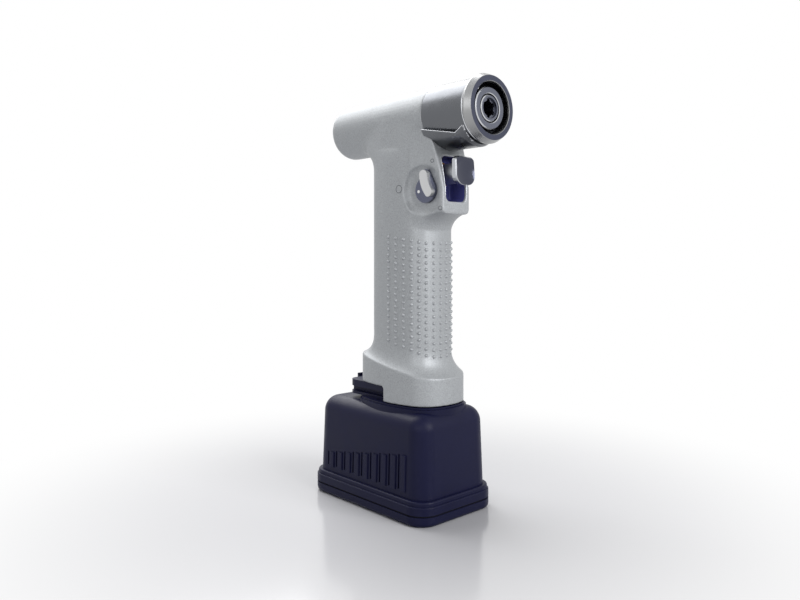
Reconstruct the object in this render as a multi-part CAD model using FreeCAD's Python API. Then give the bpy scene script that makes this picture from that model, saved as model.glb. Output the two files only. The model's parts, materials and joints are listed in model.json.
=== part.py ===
import FreeCAD, Part

import math
import os

# Cordless surgical power handpiece: pistol housing, attachment coupling, geared motor, trigger and battery
# All lengths are millimetres; +X points forward along the nose, +Y to the tool's left, +Z up
# The origin is the centre of the battery's bottom face

# Clearances
RUN = 0.05
SLIDE = 0.3
SEAT = 0.2

# Barrel of the housing
BARREL_Z = 208.9
BARREL_REAR_X = -45.3
BARREL_REAR_R = 15.4
BARREL_FRONT_R = 15.9
BARREL_REAR_ROUND = 5.0
BARREL_END_X = 33.0
BORE_R = 13.6
BORE_END_WALL = 4.0

# Grip: a superellipse column
GRIP_X = 9.9
GRIP_LENGTH = 44.0
GRIP_WIDTH = 33.4
SIDE_BOW = 1.25
END_BOW = 0.78
CORNER_BOW = 0.33
GRIP_WALL = 2.8
NECK_WIDTH = 31.2
REAR_FILLET_R = 12.0

# Foot flare and band
FOOT_LENGTH = 59.0
FOOT_WIDTH = 41.6
FLARE_TOP_Z = 87.3
FLARE_EDGE_Z = 76.7
FLARE_SLOPE = 0.177
FLARE_STEEPNESS = 58.0
FOOT_REAR_Z = 65.5
FOOT_FRONT_Z = 57.4
SKIRT_STEP_X = GRIP_X - 0.9
SKIRT_STEP_ROUND = 1.6
SKIRT_WALL = 2.6

# Trigger block in front of the column
BLOCK_FRONT_X = 43.2
BLOCK_HALF_FRONT = 9.9
BLOCK_HALF_REAR = 15.6
BLEND_SINK = 0.35
BLEND_NARROW = 2.4
BLOCK_REAR_X = 24.0
BLOCK_BOTTOM_Z = 157.2
BLOCK_CURVE_Z = 170.0
BLOCK_LOW_ROUND = 2.6
BLOCK_BROW_X = 37.9
BLOCK_BROW_Z = 193.2
BLOCK_BROW_BULGE = 0.45
BLOCK_CROWN_X = 25.5
BLOCK_CROWN_BULGE = 1.15
BLOCK_BLEND_HIGH = 13.0

# Trigger pocket and trigger
POCKET_HALF = 7.6
POCKET_LOW_Z = 163.6
POCKET_HIGH_Z = 187.3
POCKET_ROUND = 3.2
POCKET_FLOOR_X = 31.6
TRIGGER_Z = 179.2
TRIGGER_HALF_WIDTH = 7.2
TRIGGER_HALF_HEIGHT = 7.4
TRIGGER_REAR_X = 47.0
TRIGGER_FRONT_X = 50.6
TRIGGER_TOP_ROUND = 2.8
TRIGGER_LOW_ROUND = 5.4
TRIGGER_LEAN = 1.3
TRIGGER_EDGE = 0.6
TRIGGER_DISH_R = 26.0
TRIGGER_DISH_DEPTH = 1.0
STEM_R = 5.4
STEM_Z = 178.4
BUSH_WALL = 1.6
BUSH_REAR_X = 27.6
STEM_FLANGE_R = 7.2
STEM_FLANGE_THICK = 2.0
STEM_END_X = 17.0
STEM_TAIL_R = 3.2
MODULE_FRONT_X = 6.0
MODULE_REAR_X = -2.0
MODULE_HALF_HEIGHT = 9.0
SPRING_OUT_R = 4.7
SPRING_IN_R = 3.9
SPRING_WALL = 0.4
SPRING_FOLDS = 4
MAGNET_R = 2.4
MAGNET_LENGTH = 3.0

# Selector dish and knob on the right side
SELECTOR_X = 33.4
SELECTOR_Z = 169.5
SELECTOR_FLOOR_Y = -11.3
SELECTOR_TILT = 6.0
DISH_R = 14.3
DISH_FLOOR_R = 9.8
DISH_DEPTH = 6.0
DISH_WALL = 2.6
KNOB_R = 6.6
KNOB_TIP_R = 2.0
KNOB_TIP_UP = 8.8
KNOB_LEAN = 4.0
KNOB_BASE = 2.0
KNOB_RIDGE = 4.6
PIVOT_R = 1.8
PIVOT_DEPTH = 2.4
PIVOT_LENGTH = 1.6
KNOB_PIN_R = 0.8
DISC_MAGNET_R = 1.1
DISC_MAGNET_THICK = 1.2

# Nose sleeve
SLEEVE_R = 16.2
SLEEVE_FRONT_X = 61.9
SLEEVE_LIP_X = 60.4
SLEEVE_LIP_R = 16.5
SLEEVE_SPIGOT_R = 13.5
SLEEVE_SPIGOT_X = 21.2
SLEEVE_SPIGOT_BORE = 12.2
SLEEVE_WEB_X = 25.6
CHIN_R = 16.9
CHIN_DROP = 1.5
CHIN_REAR_X = 33.6
CHIN_FACET_X = 54.5
CHIN_TOP_Z = 198.6
CHIN_TOP_RISE = 1.8
FACET_REAR_R = 15.3
FACET_REAR_DROP = 5.2
FACET_FRONT_R = 14.9
FACET_FRONT_DROP = 2.0
FRONT_WEB_REAR_X = 45.0
FRONT_WEB_X = 54.0
COLLAR_SPIGOT_R = 14.4
COLLAR_SPIGOT_BORE = 13.0
COLLAR_SPIGOT_END_X = 65.9
SEAL_X = 29.0
SEAL_WIDTH = 1.6
SEAL_DEPTH = 0.9

# Turning collar
COLLAR_R = 17.5
COLLAR_REAR_X = 62.8
COLLAR_LAND_X = 64.2
COLLAR_REAR_R = 17.0
COLLAR_FACE_X = 67.6
COLLAR_FACE_R = 16.1
COLLAR_LIP_X = 66.2
COLLAR_HOLE_R = 13.2
CLIP_X = 63.9
CLIP_WIDTH = 0.9
CLIP_OUT_R = 15.2
CLIP_IN_R = 13.8

# Fixed inner coupling ring
COUPLING_R = 10.7
COUPLING_SEAT_R = 9.8
COUPLING_BORE = 7.3
COUPLING_FRONT_X = 66.1
COUPLING_REAR_X = 44.0
LIP_GROOVE = 0.3
LOCK_PIN_R = 0.7
LOCK_PIN_ORBIT = 11.85
LOCK_PIN_ANGLE = 128.0
LOCK_PIN_FRONT_X = 64.4
LOCK_PIN_LENGTH = 12.0
LOCK_PIN_TRAVEL = 3.0

# Drive spindle and its bearings
SPINDLE_HEAD_R = 6.65
SPINDLE_FRONT_X = 66.1
SPINDLE_HEAD_X = 54.4
SOCKET_R = 4.9
SOCKET_LOBE_R = 1.15
SOCKET_DEPTH = 16.0
SOCKET_MOUTH_R = 5.2
SOCKET_MOUTH_DEPTH = 1.2
SPINDLE_R = 5.0
SPINDLE_REAR_R = 4.0
FRONT_BEARING_X = 48.4
FRONT_BEARING_WIDTH = 4.6
FRONT_BEARING_R = 8.6
REAR_BEARING_X = 27.2
REAR_BEARING_WIDTH = 5.0
REAR_BEARING_R = 8.0
BEARING_LIP = 1.2
LOCK_NUT_LENGTH = 0.8
RACE_WALL = 1.1
SHAFT_SEAL_X = 53.2
SHAFT_SEAL_WIDTH = 1.1
SEAL_STEP = 0.3
SPINDLE_STEP = 0.6

# Planetary gear stage
GEAR_MODULE = 0.55
SUN_TEETH = 12
PLANET_TEETH = 15
PLANET_COUNT = 3
FIRST_PLANET = 90.0
PRESSURE_ANGLE = 25.0
BACKLASH = 0.10
GEAR_REAR_X = 11.4
GEAR_FACE = 8.6
RING_X = 9.6
RING_LENGTH = 11.4
RING_R = 13.5
CARRIER_X = 21.2
CARRIER_THICK = 3.0
CARRIER_R = 10.6
CARRIER_PIN_R = 1.5
SUN_BORE = 1.7

# Motor
CAN_REAR_X = -40.6
CAN_R = 13.5
CAN_WALL = 1.1
CAN_END = 2.2
CAN_FRONT_X = 6.2
PLATE_FRONT_X = 9.4
MOTOR_BEARING_R = 6.0
MOTOR_BEARING_WIDTH = 3.2
MOTOR_SHAFT_R = 2.5
CORE_REAR_X = -30.0
CORE_FRONT_X = -1.0
CORE_YOKE = 2.0
CORE_BORE = 7.7
CORE_SLOTS = 6
TOOTH_WIDTH = 3.2
WINDING_OVERHANG = 4.0
MAGNET_RING_R = 7.1
MAGNET_END_GAP = 1.0
HALL_BOARD_THICK = 1.2
HALL_BOARD_HOLE = 7.0

# Control board in the grip
BOARD_THICK = 1.6
BOARD_LOW_Z = 74.0
BOARD_HIGH_Z = 158.0
TRANSISTOR_COUNT = 6
TRANSISTOR_PITCH = 9.0
TRANSISTOR_SIZE = (6.4, 2.4, 6.0)
CAPACITOR_R = 4.0
CAPACITOR_LENGTH = 16.0

# Contact block and blades in the foot
CONTACT_LOW_Z = 65.6
CONTACT_THICK = 4.4
BLADE_COUNT = 5
BLADE_PITCH = 4.4
BLADE_THICK = 0.8
BLADE_REAR_X = 14.0
BLADE_LENGTH = 11.0
BLADE_TIP_Z = 62.9
BLADE_TOP_Z = 72.6

# Rail shoe in the skirt and the battery tower that slides on it
SHOE_LOW_Z = 58.8
SHOE_THICK = 2.2
SHOE_HALF_SLOT = 12.7
SHOE_BRIDGE = 6.2
SHOE_SLOT_END_X = GRIP_X + FOOT_LENGTH / 2 - SKIRT_WALL - SHOE_BRIDGE
TOWER_TOP_Z = 64.9
TOWER_HALF = 15.4
TOWER_REAR_X = -27.5
TOWER_REAR_ROUND = 6.0
TOWER_SLOT_DEPTH = 2.6
TOWER_SLOT_WIDTH = 1.8
TOWER_SLOT_REAR_X = 10.0
CLIP_THICK = 0.3
CLIP_GAP = 0.1
CLIP_OVERRUN = 1.0

# Battery case
CASE_HALF_LENGTH = 44.0
CASE_HALF_WIDTH = 26.0
CASE_DRAFT = 1.2
CASE_CORNER = 9.6
CASE_TOP_Z = 54.7
CASE_TOP_ROUND = 8.6
CASE_WALL = 2.4
SKIRT_OVERHANG = 2.6
SKIRT_HALF_LENGTH = CASE_HALF_LENGTH + SKIRT_OVERHANG
SKIRT_HALF_WIDTH = CASE_HALF_WIDTH + SKIRT_OVERHANG - 0.1
SKIRT_CORNER = 11.0
SKIRT_TOP_Z = 12.6
SKIRT_STEP = 0.8
SKIRT_STEP_Z = 10.2
SEAM_Z = 6.0
SEAM_GAP = 0.8
BASE_UNDER_INSET = 2.4
SCREW_EDGE = 3.8
SCREW_CORNER = 0.1
SCREW_SINK = 0.4
SCREW_HEAD_THICK = 1.6
PLINTH_LENGTH = 61.5
PLINTH_WIDTH = 44.0
PLINTH_HIGH = 2.3
PLINTH_STEP = 1.0
RIB_COUNT = 9
RIB_PITCH = 7.4
RIB_FIRST_X = -32.3
RIB_LOW_Z = 16.2
RIB_SHORT = 7.8
RIB_RISE = 1.25
RIB_WIDTH = 3.2
RIB_PROUD = 0.7
SLIT_WIDTH = 1.0
SLIT_DEPTH = 1.1
RIB_TO_SLIT = 3.7

# Cells inside the battery
CELL_END_ROOM = 5.0
CELL_SIDE_ROOM = 2.0
CELL_SPACING = 0.9
CELL_LENGTH = 2 * (CASE_HALF_WIDTH - CASE_WALL - CASE_DRAFT - CELL_END_ROOM)
CELL_R = 9.15
CELL_PITCH = 2 * CELL_R + CELL_SPACING
CELL_ROWS = 2
CELL_COLUMNS = round(2 * (CASE_HALF_LENGTH - CASE_WALL - CASE_DRAFT - CELL_SIDE_ROOM) / CELL_PITCH - 0.4)
HOLDER_HIGH = 4.0
HOLDER_NEST = 2.0
HOLDER_HALF_WIDTH = 4.0
STRAP_THICK = 0.4
STRAP_HALF_WIDTH = 3.0
PACK_BOARD_THICK = 1.6
PACK_BOARD_HALF_X = 1.25 * CELL_PITCH
PACK_BOARD_HALF_Y = 0.4 * CELL_LENGTH
SCREW_R = 1.5
SCREW_HEAD_R = 2.6

# Latch lever on the tower
LEVER_HALF = 5.0
LEVER_REAR_X = -31.5
LEVER_FRONT_X = -14.0
LEVER_THICK = 1.5
LEVER_TAB_HIGH = 1.6
LEVER_DROP = 2.0
LATCH_PIN_R = 0.8
LEAF_THICK = 0.35

X = FreeCAD.Vector(1, 0, 0)
Y = FreeCAD.Vector(0, 1, 0)
Z = FreeCAD.Vector(0, 0, 1)


def vec(x, y, z):
    return FreeCAD.Vector(x, y, z)


def save(node, shape):
    """Write one sub-part."""
    shape.exportStep("parts/" + node + ".step")


def box(x0, x1, y0, y1, z0, z1):
    """A block between two corners."""
    return Part.makeBox(x1 - x0, y1 - y0, z1 - z0, vec(x0, y0, z0))


def rod(radius, x0, x1, y=0.0, z=BARREL_Z):
    """A cylinder along X, on the barrel's axis unless told otherwise."""
    return Part.makeCylinder(radius, x1 - x0, vec(x0, y, z), X)


def tube(outer, inner, x0, x1, y=0.0, z=BARREL_Z):
    """A ring along X."""
    return rod(outer, x0, x1, y, z).cut(rod(inner, x0, x1, y, z))


def turned(outline, z=BARREL_Z):
    """A turned piece: an outline of (x, radius) points revolved about the X line at height z."""
    points = [vec(x, 0, z + radius) for x, radius in outline]
    face = Part.Face(Part.makePolygon(points + points[:1]))
    return face.revolve(vec(0, 0, z), X, 360)


def prism_z(points, z0, z1):
    """A plan outline of (x, y) points raised from z0 to z1."""
    corners = [vec(x, y, z0) for x, y in points]
    return Part.Face(Part.makePolygon(corners + corners[:1])).extrude(vec(0, 0, z1 - z0))


def circle_crossing(one, one_r, two, two_r):
    """Crossing point, with positive x and y, of two circles in plan."""
    gap = math.dist(one, two)
    along = (gap * gap + one_r * one_r - two_r * two_r) / (2 * gap)
    aside = math.sqrt(one_r * one_r - along * along)
    ux = (two[0] - one[0]) / gap
    uy = (two[1] - one[1]) / gap
    base_x = one[0] + ux * along
    base_y = one[1] + uy * along
    choices = [(base_x - uy * aside, base_y + ux * aside), (base_x + uy * aside, base_y - ux * aside)]
    return max(choices)


def oval_wire(length, width, z, centre=GRIP_X):
    """A closed oval of eight tangent arcs at height z: bowed sides and ends with round corners."""
    half_x = length / 2
    half_y = width / 2
    side_r = SIDE_BOW * length
    end_r = END_BOW * width
    corner_r = CORNER_BOW * width
    side = (0.0, half_y - side_r)
    end = (half_x - end_r, 0.0)
    corner = circle_crossing(side, side_r - corner_r, end, end_r - corner_r)
    lean = math.atan2(corner[1] - side[1], corner[0] - side[0])
    turn = math.atan2(corner[1] - end[1], corner[0] - end[0])

    def arc(middle, radius, start, stop):
        place = vec(centre + middle[0], middle[1], z)
        return Part.Arc(Part.Circle(place, Z, radius), start, stop).toShape()

    half = math.pi
    edges = [arc(end, end_r, -turn, turn),
             arc(corner, corner_r, turn, lean),
             arc(side, side_r, lean, half - lean),
             arc((-corner[0], corner[1]), corner_r, half - lean, half - turn),
             arc((-end[0], 0), end_r, half - turn, half + turn),
             arc((-corner[0], -corner[1]), corner_r, half + turn, half + lean),
             arc((0, -side[1]), side_r, half + lean, 2 * half - lean),
             arc((corner[0], -corner[1]), corner_r, 2 * half - lean, 2 * half - turn)]
    return Part.Wire(edges)


def oval(length, width, z0, z1, centre=GRIP_X):
    """A straight column of oval section."""
    return Part.Face(oval_wire(length, width, z0, centre)).extrude(vec(0, 0, z1 - z0))


def round_rect_wire(half_x, half_y, corner, z, centre=0.0):
    """A rectangle with round corners at height z."""
    arcs = []
    for turn, (sx, sy) in enumerate(((1, 1), (-1, 1), (-1, -1), (1, -1))):
        middle = vec(centre + sx * (half_x - corner), sy * (half_y - corner), z)
        circle = Part.Circle(middle, Z, corner)
        arcs.append(Part.Arc(circle, turn * math.pi / 2, (turn + 1) * math.pi / 2).toShape())
    edges = []
    for here, after in zip(arcs, arcs[1:] + arcs[:1]):
        edges.append(here)
        edges.append(Part.makeLine(here.Vertexes[-1].Point, after.Vertexes[0].Point))
    return Part.Wire(edges)


def round_rect(half_x, half_y, corner, z0, z1, centre=0.0):
    """A straight block with round vertical corners."""
    face = Part.Face(round_rect_wire(half_x, half_y, corner, z0, centre))
    return face.extrude(vec(0, 0, z1 - z0))


def bellows(outer, inner, wall, x0, x1, folds, z):
    """A thin turned bellows along X, from x0 to x1."""
    step = (x1 - x0) / folds
    ridge = []
    for fold in range(folds):
        ridge.append((x0 + fold * step, inner))
        ridge.append((x0 + (fold + 0.5) * step, outer))
    ridge.append((x1, inner))
    bore = [(x, radius - wall) for x, radius in reversed(ridge)]
    return turned(ridge + bore, z)


# Housing

def column():
    """Grip column, its sweep up into the barrel and its root inside the barrel."""
    rear = GRIP_X - GRIP_LENGTH / 2
    front = GRIP_X + GRIP_LENGTH / 2
    sweep_low = BARREL_Z - BARREL_REAR_R - REAR_FILLET_R + 0.6
    sections = []
    for degrees in (0, 45, 80):
        angle = math.radians(degrees)
        back = rear - REAR_FILLET_R * (1 - math.cos(angle))
        z = sweep_low + REAR_FILLET_R * math.sin(angle)
        width = GRIP_WIDTH + (NECK_WIDTH - GRIP_WIDTH) * (1 - math.cos(angle))
        sections.append(oval_wire(front - back, width, z, (front + back) / 2))
    sweep = Part.makeLoft(sections, True, False, False, 3)
    root = Part.Face(sections[-1]).extrude(vec(0, 0, BARREL_Z - z))
    straight = oval(GRIP_LENGTH, GRIP_WIDTH, FOOT_FRONT_Z, sweep_low).cut(slant(FLARE_TOP_Z, -60))
    return straight.fuse([sweep, root])


def slant(z, reach):
    """Space above or below the plane that falls towards +X and passes z on the grip's centre line."""
    rear = GRIP_X - FOOT_LENGTH
    front = GRIP_X + FOOT_LENGTH
    rise = FOOT_LENGTH * FLARE_SLOPE
    return prism_side([(rear, z + rise), (rear, z + rise + reach), (front, z - rise + reach),
                       (front, z - rise)], FOOT_WIDTH)


def flare():
    """Concave flare from the grip out to a slanting edge."""
    half = (FOOT_LENGTH - GRIP_LENGTH) / 2
    side = (FOOT_WIDTH - GRIP_WIDTH) / 2
    last = math.radians(FLARE_STEEPNESS)
    sections = []
    for share in (0, 0.5, 1.0):
        angle = last * share
        grow = (1 - math.cos(angle)) / (1 - math.cos(last))
        drop = (FLARE_TOP_Z - FLARE_EDGE_Z) * math.sin(angle) / math.sin(last)
        sections.append(oval_wire(GRIP_LENGTH + 2 * half * grow, GRIP_WIDTH + 2 * side * grow,
                                  FLARE_TOP_Z - drop))
    level = Part.makeLoft(sections, True, False, False, 3)
    shear = FreeCAD.Matrix()
    shear.A31 = -FLARE_SLOPE
    shear.A34 = FLARE_SLOPE * GRIP_X
    return level.transformGeometry(shear)


def foot_band():
    """Straight band of the foot under the flare's edge, lower at the front."""
    high = FLARE_EDGE_Z + FOOT_LENGTH * FLARE_SLOPE
    band = oval(FOOT_LENGTH, FOOT_WIDTH, FOOT_FRONT_Z, high)
    step = box(GRIP_X - FOOT_LENGTH, SKIRT_STEP_X, -FOOT_WIDTH, FOOT_WIDTH, FOOT_FRONT_Z - 1, FOOT_REAR_Z)
    corner = [e for e in step.Edges if e.BoundBox.XMin > SKIRT_STEP_X - 0.01
              and e.BoundBox.ZMin > FOOT_REAR_Z - 0.01]
    return band.cut([slant(FLARE_EDGE_Z, 60), step.makeFillet(SKIRT_STEP_ROUND, corner)])


def block_slope():
    """How fast the trigger block narrows towards its front."""
    return (BLOCK_HALF_REAR - BLOCK_HALF_FRONT) / (BLOCK_FRONT_X - BLOCK_REAR_X)


def block_blend():
    """Underside of the trigger block, swept down into the grip's front."""
    rear = GRIP_X - GRIP_LENGTH / 2 + BLEND_SINK
    front = GRIP_X + GRIP_LENGTH / 2 - BLEND_SINK
    reach = BLOCK_FRONT_X - BLEND_SINK - front
    sections = []
    for degrees in (0, 45, 90):
        angle = math.radians(degrees)
        out = reach * (1 - math.cos(angle))
        z = BLOCK_BOTTOM_Z + BLEND_SINK - BLOCK_BLEND_HIGH * (1 - math.sin(angle))
        width = GRIP_WIDTH - 2 * BLEND_SINK - BLEND_NARROW * (1 - math.cos(angle))
        sections.append(oval_wire(front + out - rear, width, z, (front + out + rear) / 2))
    return Part.makeLoft(sections, True, False, False, 3)


def bowed(start, end, bulge):
    """Arc in the side view from start up to end that bulges forward by a given height."""
    along = end - start
    out = vec(along.z, 0, -along.x).normalize()
    return Part.Arc(start, (start + end) * 0.5 + out * bulge, end).toShape()


def block():
    """Trigger block: its side view pulled across, trimmed to the tapering plan."""
    top = BARREL_Z
    knee = vec(BLOCK_FRONT_X, 0, BLOCK_CURVE_Z)
    brow = vec(BLOCK_BROW_X, 0, BLOCK_BROW_Z)
    crown = vec(BLOCK_CROWN_X, 0, top)
    straight = Part.makeLine(vec(BLOCK_FRONT_X, 0, BLOCK_BOTTOM_Z), knee)
    lower = bowed(knee, brow, BLOCK_BROW_BULGE)
    upper = bowed(brow, crown, BLOCK_CROWN_BULGE)
    outline = [crown, vec(GRIP_X, 0, top), vec(GRIP_X, 0, BLOCK_BOTTOM_Z),
               vec(BLOCK_FRONT_X, 0, BLOCK_BOTTOM_Z)]
    rest = Part.makePolygon(outline)
    side = Part.Face(Part.Wire([straight, lower, upper] + rest.Edges))
    side.translate(vec(0, -GRIP_WIDTH, 0))
    solid = side.extrude(vec(0, 2 * GRIP_WIDTH, 0))
    beyond = 2.0
    tip = BLOCK_HALF_FRONT - beyond * block_slope()
    rear_half = NECK_WIDTH / 2 - SEAT
    plan = prism_z([(GRIP_X, -rear_half), (BLOCK_REAR_X, -BLOCK_HALF_REAR),
                    (BLOCK_FRONT_X + beyond, -tip), (BLOCK_FRONT_X + beyond, tip),
                    (BLOCK_REAR_X, BLOCK_HALF_REAR), (GRIP_X, rear_half)],
                   BLOCK_BOTTOM_Z - 5, BARREL_Z)
    solid = solid.common(plan)
    low_edges = [e for e in solid.Edges if e.BoundBox.ZMax < BLOCK_BOTTOM_Z + 0.01]
    low_sides = [e for e in low_edges if e.BoundBox.XMax > BLOCK_FRONT_X - 0.01 and e.BoundBox.XLength > 1]
    return solid.makeFillet(BLOCK_LOW_ROUND, low_sides)


def pocket():
    """Rounded slot that the trigger moves in."""
    middle = (POCKET_LOW_Z + POCKET_HIGH_Z) / 2
    wire = round_rect_wire((POCKET_HIGH_Z - POCKET_LOW_Z) / 2, POCKET_HALF, POCKET_ROUND, 0)
    wire.rotate(vec(0, 0, 0), Y, 90)
    wire.translate(vec(POCKET_FLOOR_X, 0, middle))
    return Part.Face(wire).extrude(vec(BLOCK_FRONT_X + 3.0 - POCKET_FLOOR_X, 0, 0))


def dish():
    """Round dish in the right side that the selector sits in."""
    cove = DISH_R - DISH_FLOOR_R
    knee = math.sqrt(0.5)
    floor = vec(0, 0, 0)
    arc = Part.Arc(vec(DISH_FLOOR_R, 0, 0),
                   vec(DISH_FLOOR_R + cove * knee, -cove * (1 - knee), 0),
                   vec(DISH_R, -cove, 0)).toShape()
    edges = [Part.makeLine(floor, vec(DISH_FLOOR_R, 0, 0)), arc,
             Part.makeLine(vec(DISH_R, -cove, 0), vec(DISH_R, -DISH_DEPTH - 4, 0)),
             Part.makeLine(vec(DISH_R, -DISH_DEPTH - 4, 0), vec(0, -DISH_DEPTH - 4, 0)),
             Part.makeLine(vec(0, -DISH_DEPTH - 4, 0), floor)]
    solid = Part.Face(Part.Wire(edges)).revolve(vec(0, 0, 0), Y, 360)
    return on_selector(solid)


def on_selector(shape):
    """Place a shape drawn about the Y line through 0,0,0 on the selector's tilted axis."""
    shape.rotate(vec(0, 0, 0), Z, SELECTOR_TILT)
    shape.translate(vec(SELECTOR_X, SELECTOR_FLOOR_Y, SELECTOR_Z))
    return shape


def housing():
    """One cast housing: barrel, grip, trigger block and foot, hollow inside."""
    outline = [(BARREL_REAR_X, 0), (BARREL_REAR_X, BARREL_REAR_R), (BARREL_END_X, BARREL_FRONT_R),
               (BARREL_END_X, 0)]
    barrel = turned(outline)
    rear_edge = [e for e in barrel.Edges if abs(e.BoundBox.XMax - BARREL_REAR_X) < 0.01
                 and e.BoundBox.ZLength > 2 * BARREL_REAR_R - 0.5]
    barrel = barrel.makeFillet(BARREL_REAR_ROUND, rear_edge)
    body = barrel.fuse([column(), block(), block_blend(), flare(), foot_band()])
    bore = rod(BORE_R, BARREL_REAR_X + BORE_END_WALL, 60)
    inner_length = GRIP_LENGTH - 2 * GRIP_WALL
    inner_width = GRIP_WIDTH - 2 * GRIP_WALL
    cavity = oval(inner_length, inner_width, CONTACT_LOW_Z, BARREL_Z - 4)
    dish_wall = Part.makeCylinder(DISH_R + DISH_WALL, DISH_WALL + DISH_DEPTH, vec(0, -DISH_DEPTH, 0), Y)
    cavity = cavity.cut(on_selector(dish_wall))
    foot_space = oval(FOOT_LENGTH - 2 * SKIRT_WALL, FOOT_WIDTH - 2 * SKIRT_WALL,
                      FOOT_FRONT_Z - 1, CONTACT_LOW_Z + CONTACT_THICK)
    stem_hole = rod(STEM_R + RUN + BUSH_WALL, 20, POCKET_FLOOR_X + 1, 0, STEM_Z)
    flange_room = rod(STEM_FLANGE_R + SLIDE, STEM_END_X, BUSH_REAR_X, 0, STEM_Z)
    pivot_hole = on_selector(Part.makeCylinder(PIVOT_R, PIVOT_DEPTH, vec(0, 0, 0), Y))
    return body.cut([bore, cavity, foot_space, pocket(), dish(), stem_hole, flange_room, pivot_hole])


def front_of_housing():
    """The part of the housing that the nose sleeve is scribed to."""
    return block().fuse(column())


# Nose sleeve, collar and coupling ring

def nose_sleeve():
    """Steel sleeve with a saddle chin, screwed into the barrel by its spigot."""
    web = SLEEVE_WEB_X
    bearing_end = REAR_BEARING_X + REAR_BEARING_WIDTH + LOCK_NUT_LENGTH
    outline = [(SLEEVE_SPIGOT_X, SLEEVE_SPIGOT_R), (BARREL_END_X, SLEEVE_SPIGOT_R),
               (BARREL_END_X, SLEEVE_R - 0.5), (BARREL_END_X + 0.5, SLEEVE_R),
               (SLEEVE_LIP_X, SLEEVE_R), (SLEEVE_LIP_X, SLEEVE_LIP_R - LIP_GROOVE),
               (SLEEVE_LIP_X + LIP_GROOVE, SLEEVE_LIP_R - LIP_GROOVE),
               (SLEEVE_LIP_X + LIP_GROOVE, SLEEVE_LIP_R),
               (SLEEVE_FRONT_X - LIP_GROOVE, SLEEVE_LIP_R), (SLEEVE_FRONT_X, SLEEVE_LIP_R - LIP_GROOVE),
               (SLEEVE_FRONT_X, COLLAR_SPIGOT_R),
               (COLLAR_SPIGOT_END_X, COLLAR_SPIGOT_R), (COLLAR_SPIGOT_END_X, COLLAR_SPIGOT_BORE),
               (FRONT_WEB_X, COLLAR_SPIGOT_BORE), (FRONT_WEB_X, COUPLING_SEAT_R),
               (FRONT_WEB_REAR_X, COUPLING_SEAT_R), (FRONT_WEB_REAR_X, SLEEVE_SPIGOT_BORE),
               (bearing_end, SLEEVE_SPIGOT_BORE), (bearing_end, REAR_BEARING_R),
               (REAR_BEARING_X, REAR_BEARING_R), (REAR_BEARING_X, REAR_BEARING_R - BEARING_LIP),
               (web, REAR_BEARING_R - BEARING_LIP), (web, SLEEVE_SPIGOT_BORE),
               (SLEEVE_SPIGOT_X, SLEEVE_SPIGOT_BORE)]
    sleeve = turned(outline)
    sleeve = sleeve.fuse(chin())
    spigot_space = rod(BORE_R, 0, COLLAR_FACE_X)
    outside = front_of_housing().cut(spigot_space)
    sleeve = sleeve.cut(outside)
    groove = tube(SLEEVE_SPIGOT_R + 1, SLEEVE_SPIGOT_R - SEAL_DEPTH, SEAL_X, SEAL_X + SEAL_WIDTH)
    clip = tube(COLLAR_SPIGOT_R + 1, CLIP_IN_R, CLIP_X, CLIP_X + CLIP_WIDTH)
    return sleeve.cut([groove, clip, lock_pin_shape(LOCK_PIN_R + RUN, LOCK_PIN_TRAVEL + SLIDE)])


def chin():
    """Chin under the sleeve: a lower cylinder with a ledge on top and a scooped facet at its front."""
    low = BARREL_Z - CHIN_DROP
    top = BARREL_Z + SLEEVE_R
    start = CHIN_REAR_X - 6
    end = SLEEVE_LIP_X
    body = rod(CHIN_R, start, end, 0, low)
    above = prism_side([(start - 1, CHIN_TOP_Z), (CHIN_FACET_X, CHIN_TOP_Z),
                        (end + 1, CHIN_TOP_Z + CHIN_TOP_RISE), (end + 1, top),
                        (start - 1, top)], 2 * SLEEVE_R)
    rear = Part.Wire(Part.makeCircle(FACET_REAR_R, vec(CHIN_FACET_X, 0, BARREL_Z - FACET_REAR_DROP), X))
    front = Part.Wire(Part.makeCircle(FACET_FRONT_R, vec(end + 1, 0, BARREL_Z - FACET_FRONT_DROP), X))
    kept = Part.makeLoft([rear, front], True, True)
    scoop = box(CHIN_FACET_X, end + 0.5, -2 * SLEEVE_R, 2 * SLEEVE_R, low - CHIN_R - 1, top).cut(kept)
    core = rod(SLEEVE_R - 2, start - 1, end + 1)
    behind = box(start - 1, BARREL_END_X, -2 * SLEEVE_R, 2 * SLEEVE_R, low - CHIN_R - 1, top)
    return body.cut([above, core, behind, scoop])


def lock_pin_shape(radius, extra):
    """The lock pin's cylinder, longer at the rear by the room it needs."""
    angle = math.radians(LOCK_PIN_ANGLE)
    y = LOCK_PIN_ORBIT * math.cos(angle)
    z = BARREL_Z + LOCK_PIN_ORBIT * math.sin(angle)
    rear = LOCK_PIN_FRONT_X - LOCK_PIN_LENGTH - extra
    front = LOCK_PIN_FRONT_X
    return rod(radius, rear, front, y, z)


def collar():
    """Turning collar that locks an attachment."""
    outline = [(COLLAR_REAR_X, COLLAR_SPIGOT_R + RUN), (COLLAR_REAR_X, COLLAR_REAR_R),
               (COLLAR_REAR_X + 0.5, COLLAR_R), (COLLAR_LAND_X, COLLAR_R),
               (COLLAR_FACE_X - 0.2, COLLAR_FACE_R + 0.1), (COLLAR_FACE_X, COLLAR_FACE_R - 0.1),
               (COLLAR_FACE_X, COLLAR_HOLE_R + 0.2), (COLLAR_FACE_X - 0.2, COLLAR_HOLE_R),
               (COLLAR_LIP_X, COLLAR_HOLE_R), (COLLAR_LIP_X, COLLAR_SPIGOT_R + RUN)]
    solid = turned(outline)
    clip_room = tube(CLIP_OUT_R + RUN, COLLAR_SPIGOT_R - 1, CLIP_X - 0.1, CLIP_X + CLIP_WIDTH + 0.1)
    return solid.cut(clip_room)


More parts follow.
